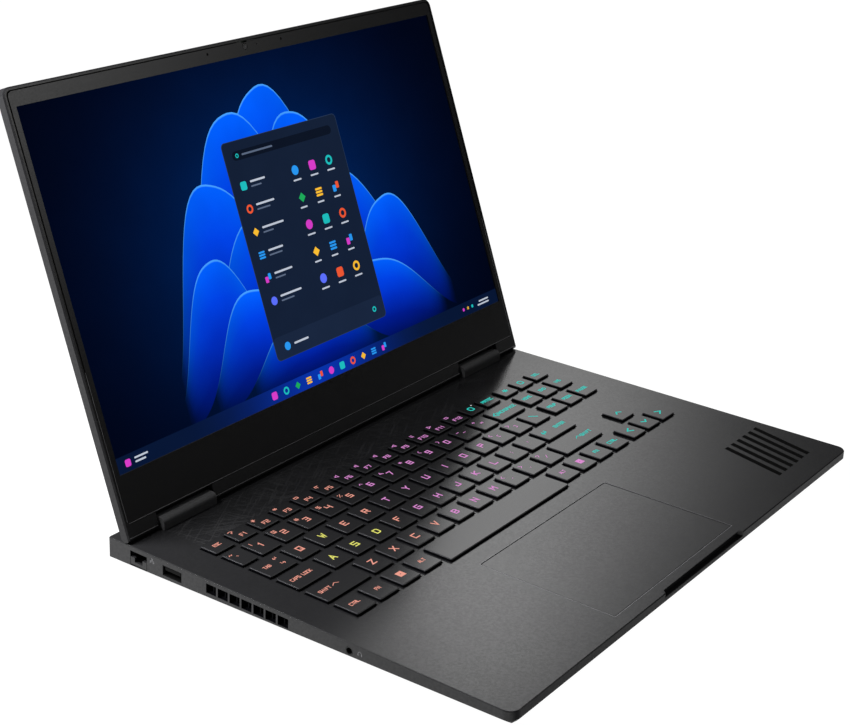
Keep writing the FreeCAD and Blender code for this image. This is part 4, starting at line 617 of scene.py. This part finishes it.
FUNCTION_NAMES = ["F" + str(i) for i in range(1, 13)]
LEGENDS = {
    "key_esc": [(0, "ESC", WORD, RED)],
    "key_power": [(0, "o", moved(KEY_SIGN, 0.0), TEAL), (0, ".", POWER_SPOT, SPOT_WHITE)],
    "key_backspace": [(0, "<", moved(KEY_SIGN, -9.2), TEAL), (0, "BACKSPACE", moved(WIDE_WORD, 2.2), TEAL)],
    "key_tab": [(0, "TAB", moved(WORD, -4.1), RED), (0, "{", moved(SHIFT_SIGN, 5.0, 3.5), RED),
                (0, "}", moved(SHIFT_SIGN, 5.0, -2.7), RED)],
    "key_caps_lock": [(0, "CAPS LOCK", moved(WORD, -1.5), RED)],
    "key_enter": [(0, "{", moved(KEY_SIGN, -9.2), TEAL), (0, "ENTER", moved(WIDE_WORD, 7.6), TEAL)],
    "key_shift_left": [(0, "SHIFT", moved(WORD, -9.5, 1.0), RED), (0, "^", LEFT_SHIFT_ARROW, RED)],
    "key_shift_right": [(0, "^", RIGHT_SHIFT_ARROW, TEAL), (0, "SHIFT", moved(WIDE_WORD, 13.0), TEAL)],
    "key_arrow_up": [(0, "^", ARROW, TEAL)],
    "key_arrow_left": [(0, "<", ARROW, TEAL)],
    "key_arrow_down": [(0, "v", ARROW, TEAL)],
    "key_arrow_right": [(0, ">", ARROW, TEAL)],
    "keys_function_row": each(0, FUNCTION_NAMES[:5], FUNCTION, RED) + each(0, "?s*wu", FUNCTION_SIGN, RED)
    + each(5, FUNCTION_NAMES[5:], FUNCTION, VIOLET) + each(5, "mmmqbpw", FUNCTION_SIGN, VIOLET)
    + each(12, ["PRTSC"], WIDE_WORD, TEAL) + each(13, "*o", KEY_SIGN, TEAL)
    + each(15, ["DEL"], WIDE_WORD, TEAL),
    "keys_number_row": each(0, "~", moved(SHIFT_SIGN, -2.8), RED) + each(0, "`", POINT_SIGN, RED)
    + each(1, "12345", DIGIT, RED) + each(1, "!@#$%", SHIFT_SIGN, RED) + each(6, "67890", DIGIT, VIOLET)
    + each(6, "^&*()_+", SHIFT_SIGN, VIOLET) + each(11, "-=", POINT_SIGN, VIOLET)
    + each(13, ["HOME", "END", "INS"], WIDE_WORD, TEAL),
    "keys_upper_row": each(0, "Q", LETTER, RED) + each(1, "W", LETTER, YELLOW) + each(2, "ER", LETTER, RED)
    + each(4, "TYUIOP", LETTER, VIOLET) + each(10, "[]", POINT_SIGN, VIOLET)
    + each(10, "<>", SHIFT_SIGN, VIOLET) + each(12, "\\", KEY_SIGN, TEAL)
    + each(13, ["PGUP", "PGDN", "PAUSE"], WIDE_WORD, TEAL),
    "keys_home_row": each(0, "ASD", LETTER, YELLOW) + each(3, "F", LETTER, RED)
    + each(4, "GHJKL", LETTER, VIOLET) + each(9, ";'", POINT_SIGN, VIOLET),
    "keys_lower_row": each(0, "ZXCV", LETTER, RED) + each(4, "BNM", LETTER, VIOLET)
    + each(7, ",./", POINT_SIGN, VIOLET) + each(7, "<>?", SHIFT_SIGN, VIOLET),
    "keys_bottom_row": each(0, ["CTRL", "FN"], WORD, RED) + each(2, "0", MENU_SIGN, RED)
    + each(3, ["ALT"], WORD, RED) + each(4, ["ALT"], WORD, VIOLET) + each(5, "0", MENU_SIGN, VIOLET)
    + each(6, ["FN", "CTRL"], WIDE_WORD, TEAL),
}


def print_legends(node, words):
    """Lit signs on the caps of one node."""
    spans, top = cap_tops(node)
    lettering = FlatWork(level_plane(top))
    for cap, text, style, tint in words:
        write(lettering, spans[cap], text, style, tint)
    lettering.piece("legend_" + node, LEGEND_LIGHT, body_of(node))


for node, words in LEGENDS.items():
    print_legends(node, words)


# Screen picture, in the open lid's plane

HINGE = Vector(joint_row("lid_hinge")["pos_m"])
OPENING = math.radians(joint_row("lid_hinge")["range_deg"][1])
LID_UP = Vector((0, -math.cos(OPENING), math.sin(OPENING)))
LID_OUT = Vector((0, -math.sin(OPENING), -math.cos(OPENING)))
SCREEN_HALF = 178.2
SCREEN_LOW = 32.1
SCREEN_HIGH = 232.6
PANEL_FACE = 0.96


def on_screen(u, v, n):
    """Place on the open lid: across, up from the hinge and out from the panel's face."""
    return Vector((u * MM, 0, 0)) + HINGE + LID_UP * (v * MM) + LID_OUT * ((PANEL_FACE + n) * MM)


NIGHT = card(0, 3, 18)
DEEP = card(0, 36, 92)
HILL_RAMP = ((0.0, card(0, 10, 60)), (0.35, card(0, 28, 150)), (0.7, card(0, 58, 224)),
             (1.0, card(0, 96, 255)))
CREST = card(70, 160, 255)
# Middle, half width and height of each hill, from the back to the front
HILLS = ((-6, 58, 176), (-34, 60, 158), (22, 56, 150), (-58, 52, 128), (46, 54, 124), (-24, 58, 112),
         (84, 44, 92), (-76, 38, 84), (12, 62, 80), (-46, 44, 62), (66, 50, 56), (-8, 50, 44))
HILL_FOOT = 4.0
HILL_REACH = 1.9
HILL_COLUMNS = 56
SKY_COLUMNS, SKY_ROWS, DOCK_COLUMNS = 36, 20, 24
# Layers of the picture: back and front in millimetres from the panel's face
SKY_LAYER = (0.0, 0.05)
HILL_BACK, HILL_FRONT, HILL_STEP = 0.04, 0.07, 0.012
DOCK_LAYER, DOCK_SIGNS = (0.04, 0.24), (0.2, 0.27)
EDGE_LAYER, SHEET_LAYER, FOOT_LAYER = (0.04, 0.26), (0.04, 0.28), (0.04, 0.3)
SLOT_LAYER, SHEET_SIGNS, FOOT_SIGNS = (0.2, 0.31), (0.2, 0.33), (0.2, 0.35)


def even_steps(low, high, count):
    """Evenly spaced values from low to high, both included."""
    return [low + (high - low) * i / count for i in range(count + 1)]


def sky_tint(u, v):
    """Night blue that brightens towards the middle."""
    near = math.exp(-((u + 5) / 105) ** 2 - ((v - 125) / 90) ** 2)
    return blend(NIGHT, DEEP, near)


def paint_sky(work):
    us = even_steps(-SCREEN_HALF, SCREEN_HALF, SKY_COLUMNS)
    vs = even_steps(SCREEN_LOW, SCREEN_HIGH, SKY_ROWS)
    work.field([[(u, v) for u in us] for v in vs], [[sky_tint(u, v) for u in us] for v in vs], *SKY_LAYER)


def paint_hill(work, index, middle, half, height):
    """Smooth hill with a thin bright crest, standing near the screen's lower edge."""
    us = [middle + half * step for step in even_steps(-HILL_REACH, HILL_REACH, HILL_COLUMNS)]
    bands = [(share, along_ramp(HILL_RAMP, share)) for share in (0.0, 0.3, 0.55, 0.75, 0.9)]
    bands += [(1 - 1.4 / height, HILL_RAMP[-1][1]), (1 - 0.7 / height, CREST), (1.0, CREST)]
    rows, tints = [], []
    for share, tint in bands:
        row, hues = [], []
        for u in us:
            lean = (u - middle) / half
            rise = math.exp(-abs(lean) ** 2.6) * (1 + 0.06 * math.sin(2.3 * lean + index))
            v = SCREEN_LOW + HILL_FOOT + max(0.6, height * rise) * share
            fade = max(0.0, 1 - 0.8 * lean ** 2)
            row.append((u, v))
            hues.append(blend(sky_tint(u, v), tint, fade))
        rows.append(row)
        tints.append(hues)
    work.field(rows, tints, HILL_BACK, HILL_FRONT + HILL_STEP * index)


ICON_TINTS = (card(40, 150, 240), card(30, 170, 90), card(236, 86, 50), card(214, 60, 200),
              card(240, 240, 244), card(250, 190, 50), card(30, 190, 190), card(90, 110, 250))
SHEET = card(20, 32, 54)
SHEET_EDGE = card(38, 54, 82)
SHEET_FOOT = card(25, 38, 62)
SHEET_SLOT = card(12, 20, 36)
INK = card(190, 198, 212)
FAINT_INK = card(92, 106, 130)
DOCK_DARK = card(7, 22, 52)
DOCK_LIGHT = card(8, 50, 168)
SHEET_LEFT, SHEET_RIGHT, SHEET_LOW, SHEET_HIGH = -42.0, 62.0, 54.0, 186.0
SHEET_RIM = 0.4
LIST_STEP = 14.0
BLOCK_ACROSS, BLOCK_STEP = 16.0, 17.0
DOCK_HEIGHT = 9.0
DOCK_FIRST, DOCK_STEP = -52, 10.4


def draw_icon(work, index, u, v, size, back, front):
    """Small plain sign: disc, ring, tile, kite, bars or pair of tiles in turn."""
    tint = ICON_TINTS[(3 * index + index // 4) % len(ICON_TINTS)]
    half = size / 2
    kind = index % 6
    if kind == 0:
        work.plate(disc(u, v, half), tint, back, front)
    elif kind == 1:
        work.plate(rounded(u - half, u + half, v - half, v + half, 0.25 * size), tint, back, front)
    elif kind == 2:
        ring = disc(u, v, 0.4 * size)
        work.stroke(ring + ring[:1], 0.24 * size, tint, back, front)
    elif kind == 3:
        work.plate([(u, v - half), (u + half, v), (u, v + half), (u - half, v)], tint, back, front)
    elif kind == 4:
        for lift in (-0.32, 0.0, 0.32):
            low, high = v + (lift - 0.11) * size, v + (lift + 0.11) * size
            work.plate(rounded(u - half, u + half, low, high, 0.1 * size), tint, back, front)
    else:
        work.plate(rounded(u - half, u, v - half, v + 0.2 * size, 0.1 * size), tint, back, front)
        other = ICON_TINTS[(index + 5) % len(ICON_TINTS)]
        taller = rounded(u + 0.05 * size, u + half, v - 0.2 * size, v + half, 0.1 * size)
        work.plate(taller, other, back, front)


def draw_bar(work, u0, u1, v, high, tint, back, front):
    """Bar with round ends."""
    work.plate(rounded(u0, u1, v - high / 2, v + high / 2, 0.49 * high, 3), tint, back, front)


def draw_sheet(work):
    """Dark sheet with a light rim, a paler foot and a slot at its head."""
    left, right, low, high = SHEET_LEFT, SHEET_RIGHT, SHEET_LOW, SHEET_HIGH
    rim = SHEET_RIM
    work.plate(rounded(left, right, low, high, 3.0), SHEET_EDGE, *EDGE_LAYER)
    work.plate(rounded(left + rim, right - rim, low + rim, high - rim, 2.8), SHEET, *SHEET_LAYER)
    work.plate(rounded(left + rim, right - rim, low + rim, low + 14.0, 2.8), SHEET_FOOT, *FOOT_LAYER)
    draw_bar(work, left + 7, right - 7, high - 9, 5.6, SHEET_SLOT, *SLOT_LAYER)
    draw_bar(work, left + 15, left + 42, high - 9, 1.1, FAINT_INK, *SHEET_SIGNS)
    draw_icon(work, 2, left + 11, high - 9, 2.6, *SHEET_SIGNS)


def draw_sheet_signs(work):
    """List at the sheet's left, block of signs at its right and a few signs on its foot."""
    left, right, low, first = SHEET_LEFT, SHEET_RIGHT, SHEET_LOW, SHEET_HIGH - 27
    for row in range(6):
        v = first - LIST_STEP * row
        draw_icon(work, row + 7, left + 10, v, 5.2, *SHEET_SIGNS)
        draw_bar(work, left + 16, left + 29 + 3.0 * (row % 3), v + 1.4, 1.2, INK, *SHEET_SIGNS)
        draw_bar(work, left + 16, left + 25 + 2.5 * (row % 2), v - 1.5, 0.9, FAINT_INK, *SHEET_SIGNS)
    for row in range(5):
        for column in range(3):
            u, v = left + 56 + BLOCK_ACROSS * column, first - BLOCK_STEP * row
            draw_icon(work, 3 * row + column, u, v, 6.0, *SHEET_SIGNS)
            draw_bar(work, u - 3.6, u + 3.6 - row % 2, v - 6.0, 1.0, INK, *SHEET_SIGNS)
    draw_icon(work, 0, left + 11, low + 7, 5.0, *FOOT_SIGNS)
    draw_bar(work, left + 17, left + 30, low + 7, 1.2, INK, *FOOT_SIGNS)
    draw_icon(work, 2, right - 10, low + 7, 3.4, *FOOT_SIGNS)


def draw_dock(work):
    """Strip of small signs along the screen's lower edge."""
    us = even_steps(-SCREEN_HALF, SCREEN_HALF, DOCK_COLUMNS)
    vs = (SCREEN_LOW, SCREEN_LOW + DOCK_HEIGHT)
    tint = [blend(DOCK_DARK, DOCK_LIGHT, math.exp(-((u + 8) / 55) ** 2)) for u in us]
    work.field([[(u, v) for u in us] for v in vs], [tint, tint], *DOCK_LAYER)
    middle = SCREEN_LOW + DOCK_HEIGHT / 2
    for i in range(11):
        draw_icon(work, i + 1, DOCK_FIRST + DOCK_STEP * i, middle, 4.6, *DOCK_SIGNS)
    draw_icon(work, 1, -170, middle, 4.0, *DOCK_SIGNS)
    for lift in (-1.1, 1.1):
        draw_bar(work, -165, -156 + lift, middle + lift, 1.0, INK, *DOCK_SIGNS)
        draw_bar(work, 156 + lift, 168, middle + lift, 1.0, INK, *DOCK_SIGNS)
    for i in range(3):
        draw_icon(work, 3 * i + 1, 139 + 5 * i, middle, 2.0, *DOCK_SIGNS)


picture = FlatWork(on_screen)
paint_sky(picture)
for index, hill in enumerate(HILLS):
    paint_hill(picture, index, *hill)
draw_sheet(picture)
draw_sheet_signs(picture)
draw_dock(picture)
screen_picture = picture.piece("screen_picture", SCREEN_LIGHT, "lid")
screen_picture.visible_glossy = False


# Painted highlight lines, painted groove shade, and dark spots and ring at the camera, on the lid's face, in the
# open lid's plane

WHITE = (1, 1, 1, 1)
BLACK = (0, 0, 0, 1)
BEZEL_FACE = 1.1
LIP_FACE = 1.3
EDGE_BACK = -0.05
EDGE_FRONT = 0.02
PRINT_PROUD = 0.01
EDGE_WIDTH = 0.3
BEZEL_BORDER = [(-181.9, 90.0), (-181.9, 6.5), (181.9, 6.5), (181.9, 90.0)]
LIP_HEIGHT = -1.2
LIP_SPANS = ((-183.0, -163.0), (-117.0, 117.0), (163.0, 183.0))
CAMERA_U, CAMERA_V = -1.5, 237.9
# Place from the camera's middle and radius of each dark spot beside it
CAMERA_SPOTS = ((-32.2, 0.8), (32.2, 0.8), (10.1, 0.4))
RING_RADIUS, RING_WIDTH, RING_BACK, RING_STEPS = 1.8, 0.36, 0.85, 28
WINDOW_RADIUS, WINDOW_BACK, WINDOW_SUNK = 1.66, 0.95, 0.02
# Dark lines of painted shade in the groove between the bezel and the lid's rim, along the sides and the top
GROOVE_SHADE_SIDE = [(182.05, 8.0), (182.05, 238.4), (181.2, 240.3), (179.4, 241.1)]
GROOVE_SHADE_SIDE_WIDTH, GROOVE_SHADE_TOP_WIDTH = 0.9, 0.6
GROOVE_SHADE_CORNER, GROOVE_SHADE_TOP = 179.0, 241.15
# Side of the lid and how near to its middle the painted groove shade's top line ends there
GROOVE_SHADE_ENDS = ((-1, 8.0), (1, 9.0))


def draw_lid_edges():
    """Painted highlights along the edges of the bezel and of the lip."""
    edges = FlatWork(on_screen)
    edges.stroke(BEZEL_BORDER, EDGE_WIDTH, WHITE, BEZEL_FACE + EDGE_BACK, BEZEL_FACE + EDGE_FRONT)
    for u0, u1 in LIP_SPANS:
        edges.stroke([(u0, LIP_HEIGHT), (u1, LIP_HEIGHT)], EDGE_WIDTH, WHITE, LIP_FACE + EDGE_BACK,
                     LIP_FACE + EDGE_FRONT)
    edges.piece("lid_edge_lines", EDGE_HIGHLIGHT, "lid")


def draw_bezel_marks():
    """Dark spots and ring at the camera, and painted shade in the groove round the bezel."""
    layer = (BEZEL_FACE + EDGE_BACK, BEZEL_FACE + PRINT_PROUD)
    marks = FlatWork(on_screen)
    for du, radius in CAMERA_SPOTS:
        marks.plate(disc(CAMERA_U + du, CAMERA_V, radius), BLACK, *layer)
    ring = disc(CAMERA_U, CAMERA_V, RING_RADIUS, RING_STEPS)
    marks.stroke(ring + ring[:1], RING_WIDTH, BLACK, RING_BACK, BEZEL_FACE - PRINT_PROUD)
    for side, reach in GROOVE_SHADE_ENDS:
        marks.stroke([(side * u, v) for u, v in GROOVE_SHADE_SIDE], GROOVE_SHADE_SIDE_WIDTH, BLACK, *layer)
        top = [(side * GROOVE_SHADE_CORNER, GROOVE_SHADE_TOP), (side * reach, GROOVE_SHADE_TOP)]
        marks.stroke(top, GROOVE_SHADE_TOP_WIDTH, BLACK, *layer)
    marks.piece("bezel_marks", INLAY_BLACK, "lid")


def glaze_camera():
    window = FlatWork(on_screen)
    window.plate(disc(CAMERA_U, CAMERA_V, WINDOW_RADIUS), BLACK, WINDOW_BACK, BEZEL_FACE - WINDOW_SUNK)
    window.piece("camera_window", WINDOW_GLASS, "lid")


# Painted highlights along the edges of the touchpad's pocket

POCKET_LEFT, POCKET_RIGHT = -80.97, 45.97
POCKET_FRONT, POCKET_BACK = -229.52, -147.28
POCKET_LINE = 0.22
DECK_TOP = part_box("top_case")[1].z / MM


def draw_pocket_edges():
    pocket = FlatWork(level_plane(DECK_TOP))
    corners = [(POCKET_LEFT, POCKET_FRONT), (POCKET_RIGHT, POCKET_FRONT), (POCKET_RIGHT, POCKET_BACK),
               (POCKET_LEFT, POCKET_BACK)]
    pocket.stroke(corners + corners[:1], POCKET_LINE, WHITE, EDGE_BACK, PRINT_PROUD)
    pocket.piece("touchpad_edge_lines", EDGE_HIGHLIGHT, "base")


# Prints on the left wall

WALL_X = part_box("top_case")[0].x / MM
PRINT_TINT = card(130, 130, 134)
PRINT_LAYER = (-0.02, 0.003)
NETWORK_SIGN = (10.6, 12.6)
HEADSET_SIGN = (149.5, 12.0)
SIGN_BOXES = ((0, 0.9), (-1.0, -0.7), (1.0, -0.7))
BOX_HALF_WIDTH, BOX_HALF_HEIGHT = 0.4, 0.35
BOX_LINE, FORK_LINE, ARCH_LINE, EAR_LINE = 0.16, 0.14, 0.18, 0.45
ARCH_RADIUS = 1.1


def on_left_wall(u, v, n):
    """Place on the left wall: from the rear to the front, up, and out of the wall."""
    return Vector(((WALL_X - n) * MM, -u * MM, v * MM))


def print_network_sign(work, u, v):
    """Three boxes joined by a fork."""
    for du, dv in SIGN_BOXES:
        left, right = u + du - BOX_HALF_WIDTH, u + du + BOX_HALF_WIDTH
        low, high = v + dv - BOX_HALF_HEIGHT, v + dv + BOX_HALF_HEIGHT
        box = [(left, low), (right, low), (right, high), (left, high)]
        work.stroke(box + box[:1], BOX_LINE, PRINT_TINT, *PRINT_LAYER)
    fork = [(u - 1.0, v - 0.3), (u - 1.0, v + 0.1), (u + 1.0, v + 0.1), (u + 1.0, v - 0.3)]
    for path in (fork, [(u, v + 0.1), (u, v + 0.5)]):
        work.stroke(path, FORK_LINE, PRINT_TINT, *PRINT_LAYER)


def print_headset_sign(work, u, v):
    """Arch with two ears."""
    turns = [math.pi * i / 10 for i in range(11)]
    arch = [(u + ARCH_RADIUS * math.cos(turn), v + ARCH_RADIUS * math.sin(turn)) for turn in turns]
    work.stroke(arch, ARCH_LINE, PRINT_TINT, *PRINT_LAYER)
    for side in (-1, 1):
        ear = [(u + side * ARCH_RADIUS, v - 0.8), (u + side * ARCH_RADIUS, v - 0.1)]
        work.stroke(ear, EAR_LINE, PRINT_TINT, *PRINT_LAYER)


def print_wall_signs():
    prints = FlatWork(on_left_wall)
    print_network_sign(prints, *NETWORK_SIGN)
    print_headset_sign(prints, *HEADSET_SIGN)
    prints.piece("wall_prints", WALL_PRINT, "base")


draw_lid_edges()
draw_bezel_marks()
glaze_camera()
draw_pocket_edges()
print_wall_signs()


# Repeated small parts, grown by node trees

def new_tree(name, sockets):
    """Empty geometry tree with named inputs and one output."""
    tree = bpy.data.node_groups.new(name, "GeometryNodeTree")
    tree.interface.new_socket("Geometry", in_out="OUTPUT", socket_type="NodeSocketGeometry")
    for socket, kind in sockets:
        tree.interface.new_socket(socket, in_out="INPUT", socket_type="NodeSocket" + kind)
    return tree, tree.nodes.new("NodeGroupInput").outputs, tree.nodes.new("NodeGroupOutput").inputs


def tree_node(tree, kind, links=(), **settings):
    """Outputs of a new geometry node."""
    return new_node(tree, "GeometryNode" + kind, links, settings).outputs


def end_tree(tree, instances, given, out):
    """Plain mesh of the instances, in the tree's material."""
    solid = tree_node(tree, "RealizeInstances", {"Geometry": instances})
    dressed = tree_node(tree, "SetMaterial", {"Geometry": solid[0], "Material": given["Material"]})
    tree.links.new(dressed[0], out["Geometry"])


def contact_row_tree():
    """Sprung contacts side by side: each is a strip bent along a curve."""
    tree, given, out = new_tree("contact_row", (("Count", "Int"), ("First", "Vector"), ("Step", "Vector"),
                                                ("Bend", "Vector"), ("Tip", "Vector"), ("Width", "Float"),
                                                ("Thickness", "Float"), ("Material", "Material")))
    line = tree_node(tree, "MeshLine", {"Count": given["Count"], "Start Location": given["First"],
                                        "Offset": given["Step"]})
    spring = tree_node(tree, "CurveQuadraticBezier", {"Middle": given["Bend"], "End": given["Tip"]},
                       Resolution=6, Start=(0, 0, 0))
    section = tree_node(tree, "CurvePrimitiveQuadrilateral",
                        {"Width": given["Width"], "Height": given["Thickness"]})
    strip = tree_node(tree, "CurveToMesh", {"Curve": spring[0], "Profile Curve": section[0]}, Fill_Caps=True)
    row = tree_node(tree, "InstanceOnPoints", {"Points": line[0], "Instance": strip[0]})
    end_tree(tree, row[0], given, out)
    return tree


def dust_screen_tree():
    """Woven screen: crossed wires at an even pitch."""
    tree, given, out = new_tree("dust_screen", (("Count", "Int"), ("First Across", "Vector"),
                                                ("First Along", "Vector"), ("Across", "Vector"),
                                                ("Along", "Vector"), ("Wire Across", "Vector"),
                                                ("Wire Along", "Vector"), ("Material", "Material")))
    both = tree.nodes.new("GeometryNodeJoinGeometry")
    for way in ("Across", "Along"):
        line = tree_node(tree, "MeshLine", {"Count": given["Count"], "Offset": given[way],
                                            "Start Location": given["First " + way]})
        bar = tree_node(tree, "MeshCube", {"Size": given["Wire " + way]})
        wires = tree_node(tree, "InstanceOnPoints", {"Points": line[0], "Instance": bar[0]})
        tree.links.new(wires[0], both.inputs[0])
    end_tree(tree, both.outputs[0], given, out)
    return tree


def grow(tree, name, body, slot, **sizes):
    """Plain mesh of a tree's result, riding on a body."""
    seed = show(name, bpy.data.meshes.new(name + "_seed"))
    maker = seed.modifiers.new("grow", "NODES")
    maker.node_group = tree
    for socket in tree.interface.items_tree:
        if socket.in_out == "INPUT":
            maker[socket.identifier] = sizes[socket.name.replace(" ", "_")]
    shape = bpy.data.meshes.new_from_object(seed.evaluated_get(bpy.context.evaluated_depsgraph_get()))
    seed.modifiers.remove(maker)
    seed.data = shape
    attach(seed, body)
    return seed


CONTACT_COUNT = 8
CONTACT_STEP = 1.02
# Place of the first contact: into the socket, back from its middle and up from the table
CONTACT_IN, CONTACT_BACK, CONTACT_UP = 1.2, 3.57, 13.2
CONTACT_BEND = mm(4.5, 0, -0.6)
CONTACT_TIP = mm(10.5, 0, -3.4)
CONTACT_WIDTH, CONTACT_THICKNESS = 0.45, 0.2
DUST_WIRES = 55
DUST_PITCH = 1.0
DUST_SPAN = 54.0
DUST_LEVEL = 3.07
WIRE_WIDTH, WIRE_HEIGHT = 0.22, 0.1


def fit_contacts():
    """Sprung contacts under the roof of the network socket."""
    low, high = (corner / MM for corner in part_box("ethernet_jack"))
    first = mm(low.x + CONTACT_IN, (low.y + high.y) / 2 - CONTACT_BACK, CONTACT_UP)
    grow(contact_row_tree(), "network_contacts", "base", "copper", Count=CONTACT_COUNT, First=first,
         Step=mm(0, CONTACT_STEP, 0), Bend=CONTACT_BEND, Tip=CONTACT_TIP, Width=CONTACT_WIDTH * MM,
         Thickness=CONTACT_THICKNESS * MM, Material=CONTACT_GOLD)


def fit_dust_screens():
    """Screens over the intake slots, one under each fan."""
    tree = dust_screen_tree()
    for side in ("left", "right"):
        low, high = (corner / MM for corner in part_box("fan_rotor_" + side))
        middle = (low + high) / 2
        grow(tree, "dust_screen_" + side, "base", "steel", Count=DUST_WIRES,
             First_Across=mm(middle.x - DUST_SPAN / 2, middle.y, DUST_LEVEL),
             First_Along=mm(middle.x, middle.y - DUST_SPAN / 2, DUST_LEVEL),
             Across=mm(DUST_PITCH, 0, 0), Along=mm(0, DUST_PITCH, 0),
             Wire_Across=mm(WIRE_WIDTH, DUST_SPAN, WIRE_HEIGHT),
             Wire_Along=mm(DUST_SPAN, WIRE_WIDTH, WIRE_HEIGHT), Material=WIRE_MESH)


fit_contacts()
fit_dust_screens()


# Floor, light and camera

FLOOR_REACH = 12.0
FLOOR_DARK = (0.05, 0.05, 0.05, 1)
FLOOR_LIGHT = (0.06, 0.06, 0.06, 1)
# Soft boxes: turn from +X towards +Y, height and spread in degrees, and level
SOFT_BOXES = ((30.9, 24.1, 3.0, 2.1), (33.5, 30.8, 2.42, 3.3), (0, 90, 20, 0.5), (-50, 22, 5, 4.2),
              (133, 41, 8, 0.9), (-34, 36, 6, 0.9))
ROOM_LEVEL = 0.08
SIDE_LIGHT_WATTS = 18.0
SIDE_LIGHT_SIZE = 0.3
SIDE_LIGHT_PLACE = Vector(mm(-425, 260, 420))
SIDE_LIGHT_AIM = Vector(mm(-100, -60, 16))


def pale_floor():
    """Lit white sweep: it glows, so that only a faint shadow is left."""
    f = Finish("pale_floor", Roughness=0.9, Specular_IOR_Level=0.0, Emission_Strength=1.0)
    f.feed("Base Color", f.shades(f.grain(400.0, 2.0), (0.3, FLOOR_DARK), (0.7, FLOOR_LIGHT)))
    f.shader.inputs["Emission Color"].default_value = WHITE
    mesh = bpy.data.meshes.new("floor")
    corners = [(x * FLOOR_REACH, y * FLOOR_REACH, 0) for x, y in ((-1, -1), (1, -1), (1, 1), (-1, 1))]
    mesh.from_pydata(corners, [], [(0, 1, 2, 3)])
    mesh.materials.append(f.material)
    floor = show("floor", mesh)


def studio_light():
    """Soft boxes round the object, whose light falls off smoothly from the middle of each."""
    world = bpy.data.worlds.new("studio")
    scene.world = world
    world.use_nodes = True
    tree = world.node_tree
    way = tree.nodes.new("ShaderNodeTexCoord").outputs["Generated"]
    total = None
    for turn, height, spread, level in SOFT_BOXES:
        turn, height = math.radians(turn), math.radians(height)
        aim = new_node(tree, "ShaderNodeVectorMath", {0: way}, {"operation": "DOT_PRODUCT"})
        aim.inputs[1].default_value = (math.cos(turn) * math.cos(height), math.sin(turn) * math.cos(height),
                                       math.sin(height))
        sharpness = 1 / math.radians(spread) ** 2
        fall = reckon(tree, "MULTIPLY", reckon(tree, "SUBTRACT", aim.outputs["Value"], 1.0), sharpness)
        glow = reckon(tree, "MULTIPLY", reckon(tree, "EXPONENT", fall, 0.0), float(level))
        total = reckon(tree, "ADD", glow, ROOM_LEVEL if total is None else total)
    tree.links.new(total, tree.nodes["Background"].inputs["Color"])


def side_light():
    """Small soft light at the rear left that leaves no mirror image in the paint."""
    data = bpy.data.lights.new("side_light", "AREA")
    data.energy = SIDE_LIGHT_WATTS
    data.size = SIDE_LIGHT_SIZE
    lamp = show("side_light", data)
    turn = (SIDE_LIGHT_PLACE - SIDE_LIGHT_AIM).to_track_quat("Z", "Y").to_matrix().to_4x4()
    lamp.matrix_world = Matrix.Translation(SIDE_LIGHT_PLACE) @ turn
    lamp.visible_glossy = False


VIEW_FROM = (-755.94, -590.67, 460.96)
VIEW_TURN = math.radians(-54.23)
VIEW_DROP = math.radians(19.05)
VIEW_ROLL = math.radians(2.22)
FRAME_WIDTH = 850
SENSOR_WIDTH = 36.0
FAR_END = 100.0
FOCUS_PIXELS = 1731.0
FRAME_SHIFT = -0.1182


def photo_camera():
    """Camera at the place and with the lens that were fitted to the photograph."""
    data = bpy.data.cameras.new("photo_camera")
    data.sensor_width = SENSOR_WIDTH
    data.lens = FOCUS_PIXELS / FRAME_WIDTH * SENSOR_WIDTH
    data.shift_y = FRAME_SHIFT
    data.clip_end = FAR_END
    back = Vector((math.sin(VIEW_TURN) * math.cos(VIEW_DROP), -math.cos(VIEW_TURN) * math.cos(VIEW_DROP),
                   math.sin(VIEW_DROP)))
    across = Vector((0, 0, 1)).cross(back).normalized()
    up = back.cross(across)
    turned = across * math.cos(VIEW_ROLL) + up * math.sin(VIEW_ROLL)
    upright = up * math.cos(VIEW_ROLL) - across * math.sin(VIEW_ROLL)
    camera = show("photo_camera", data)
    turn = Matrix((turned, upright, back)).transposed().to_4x4()
    camera.matrix_world = Matrix.Translation(mm(*VIEW_FROM)) @ turn
    scene.camera = camera


pale_floor()
studio_light()
side_light()
photo_camera()
scene.view_settings.view_transform = "Standard"
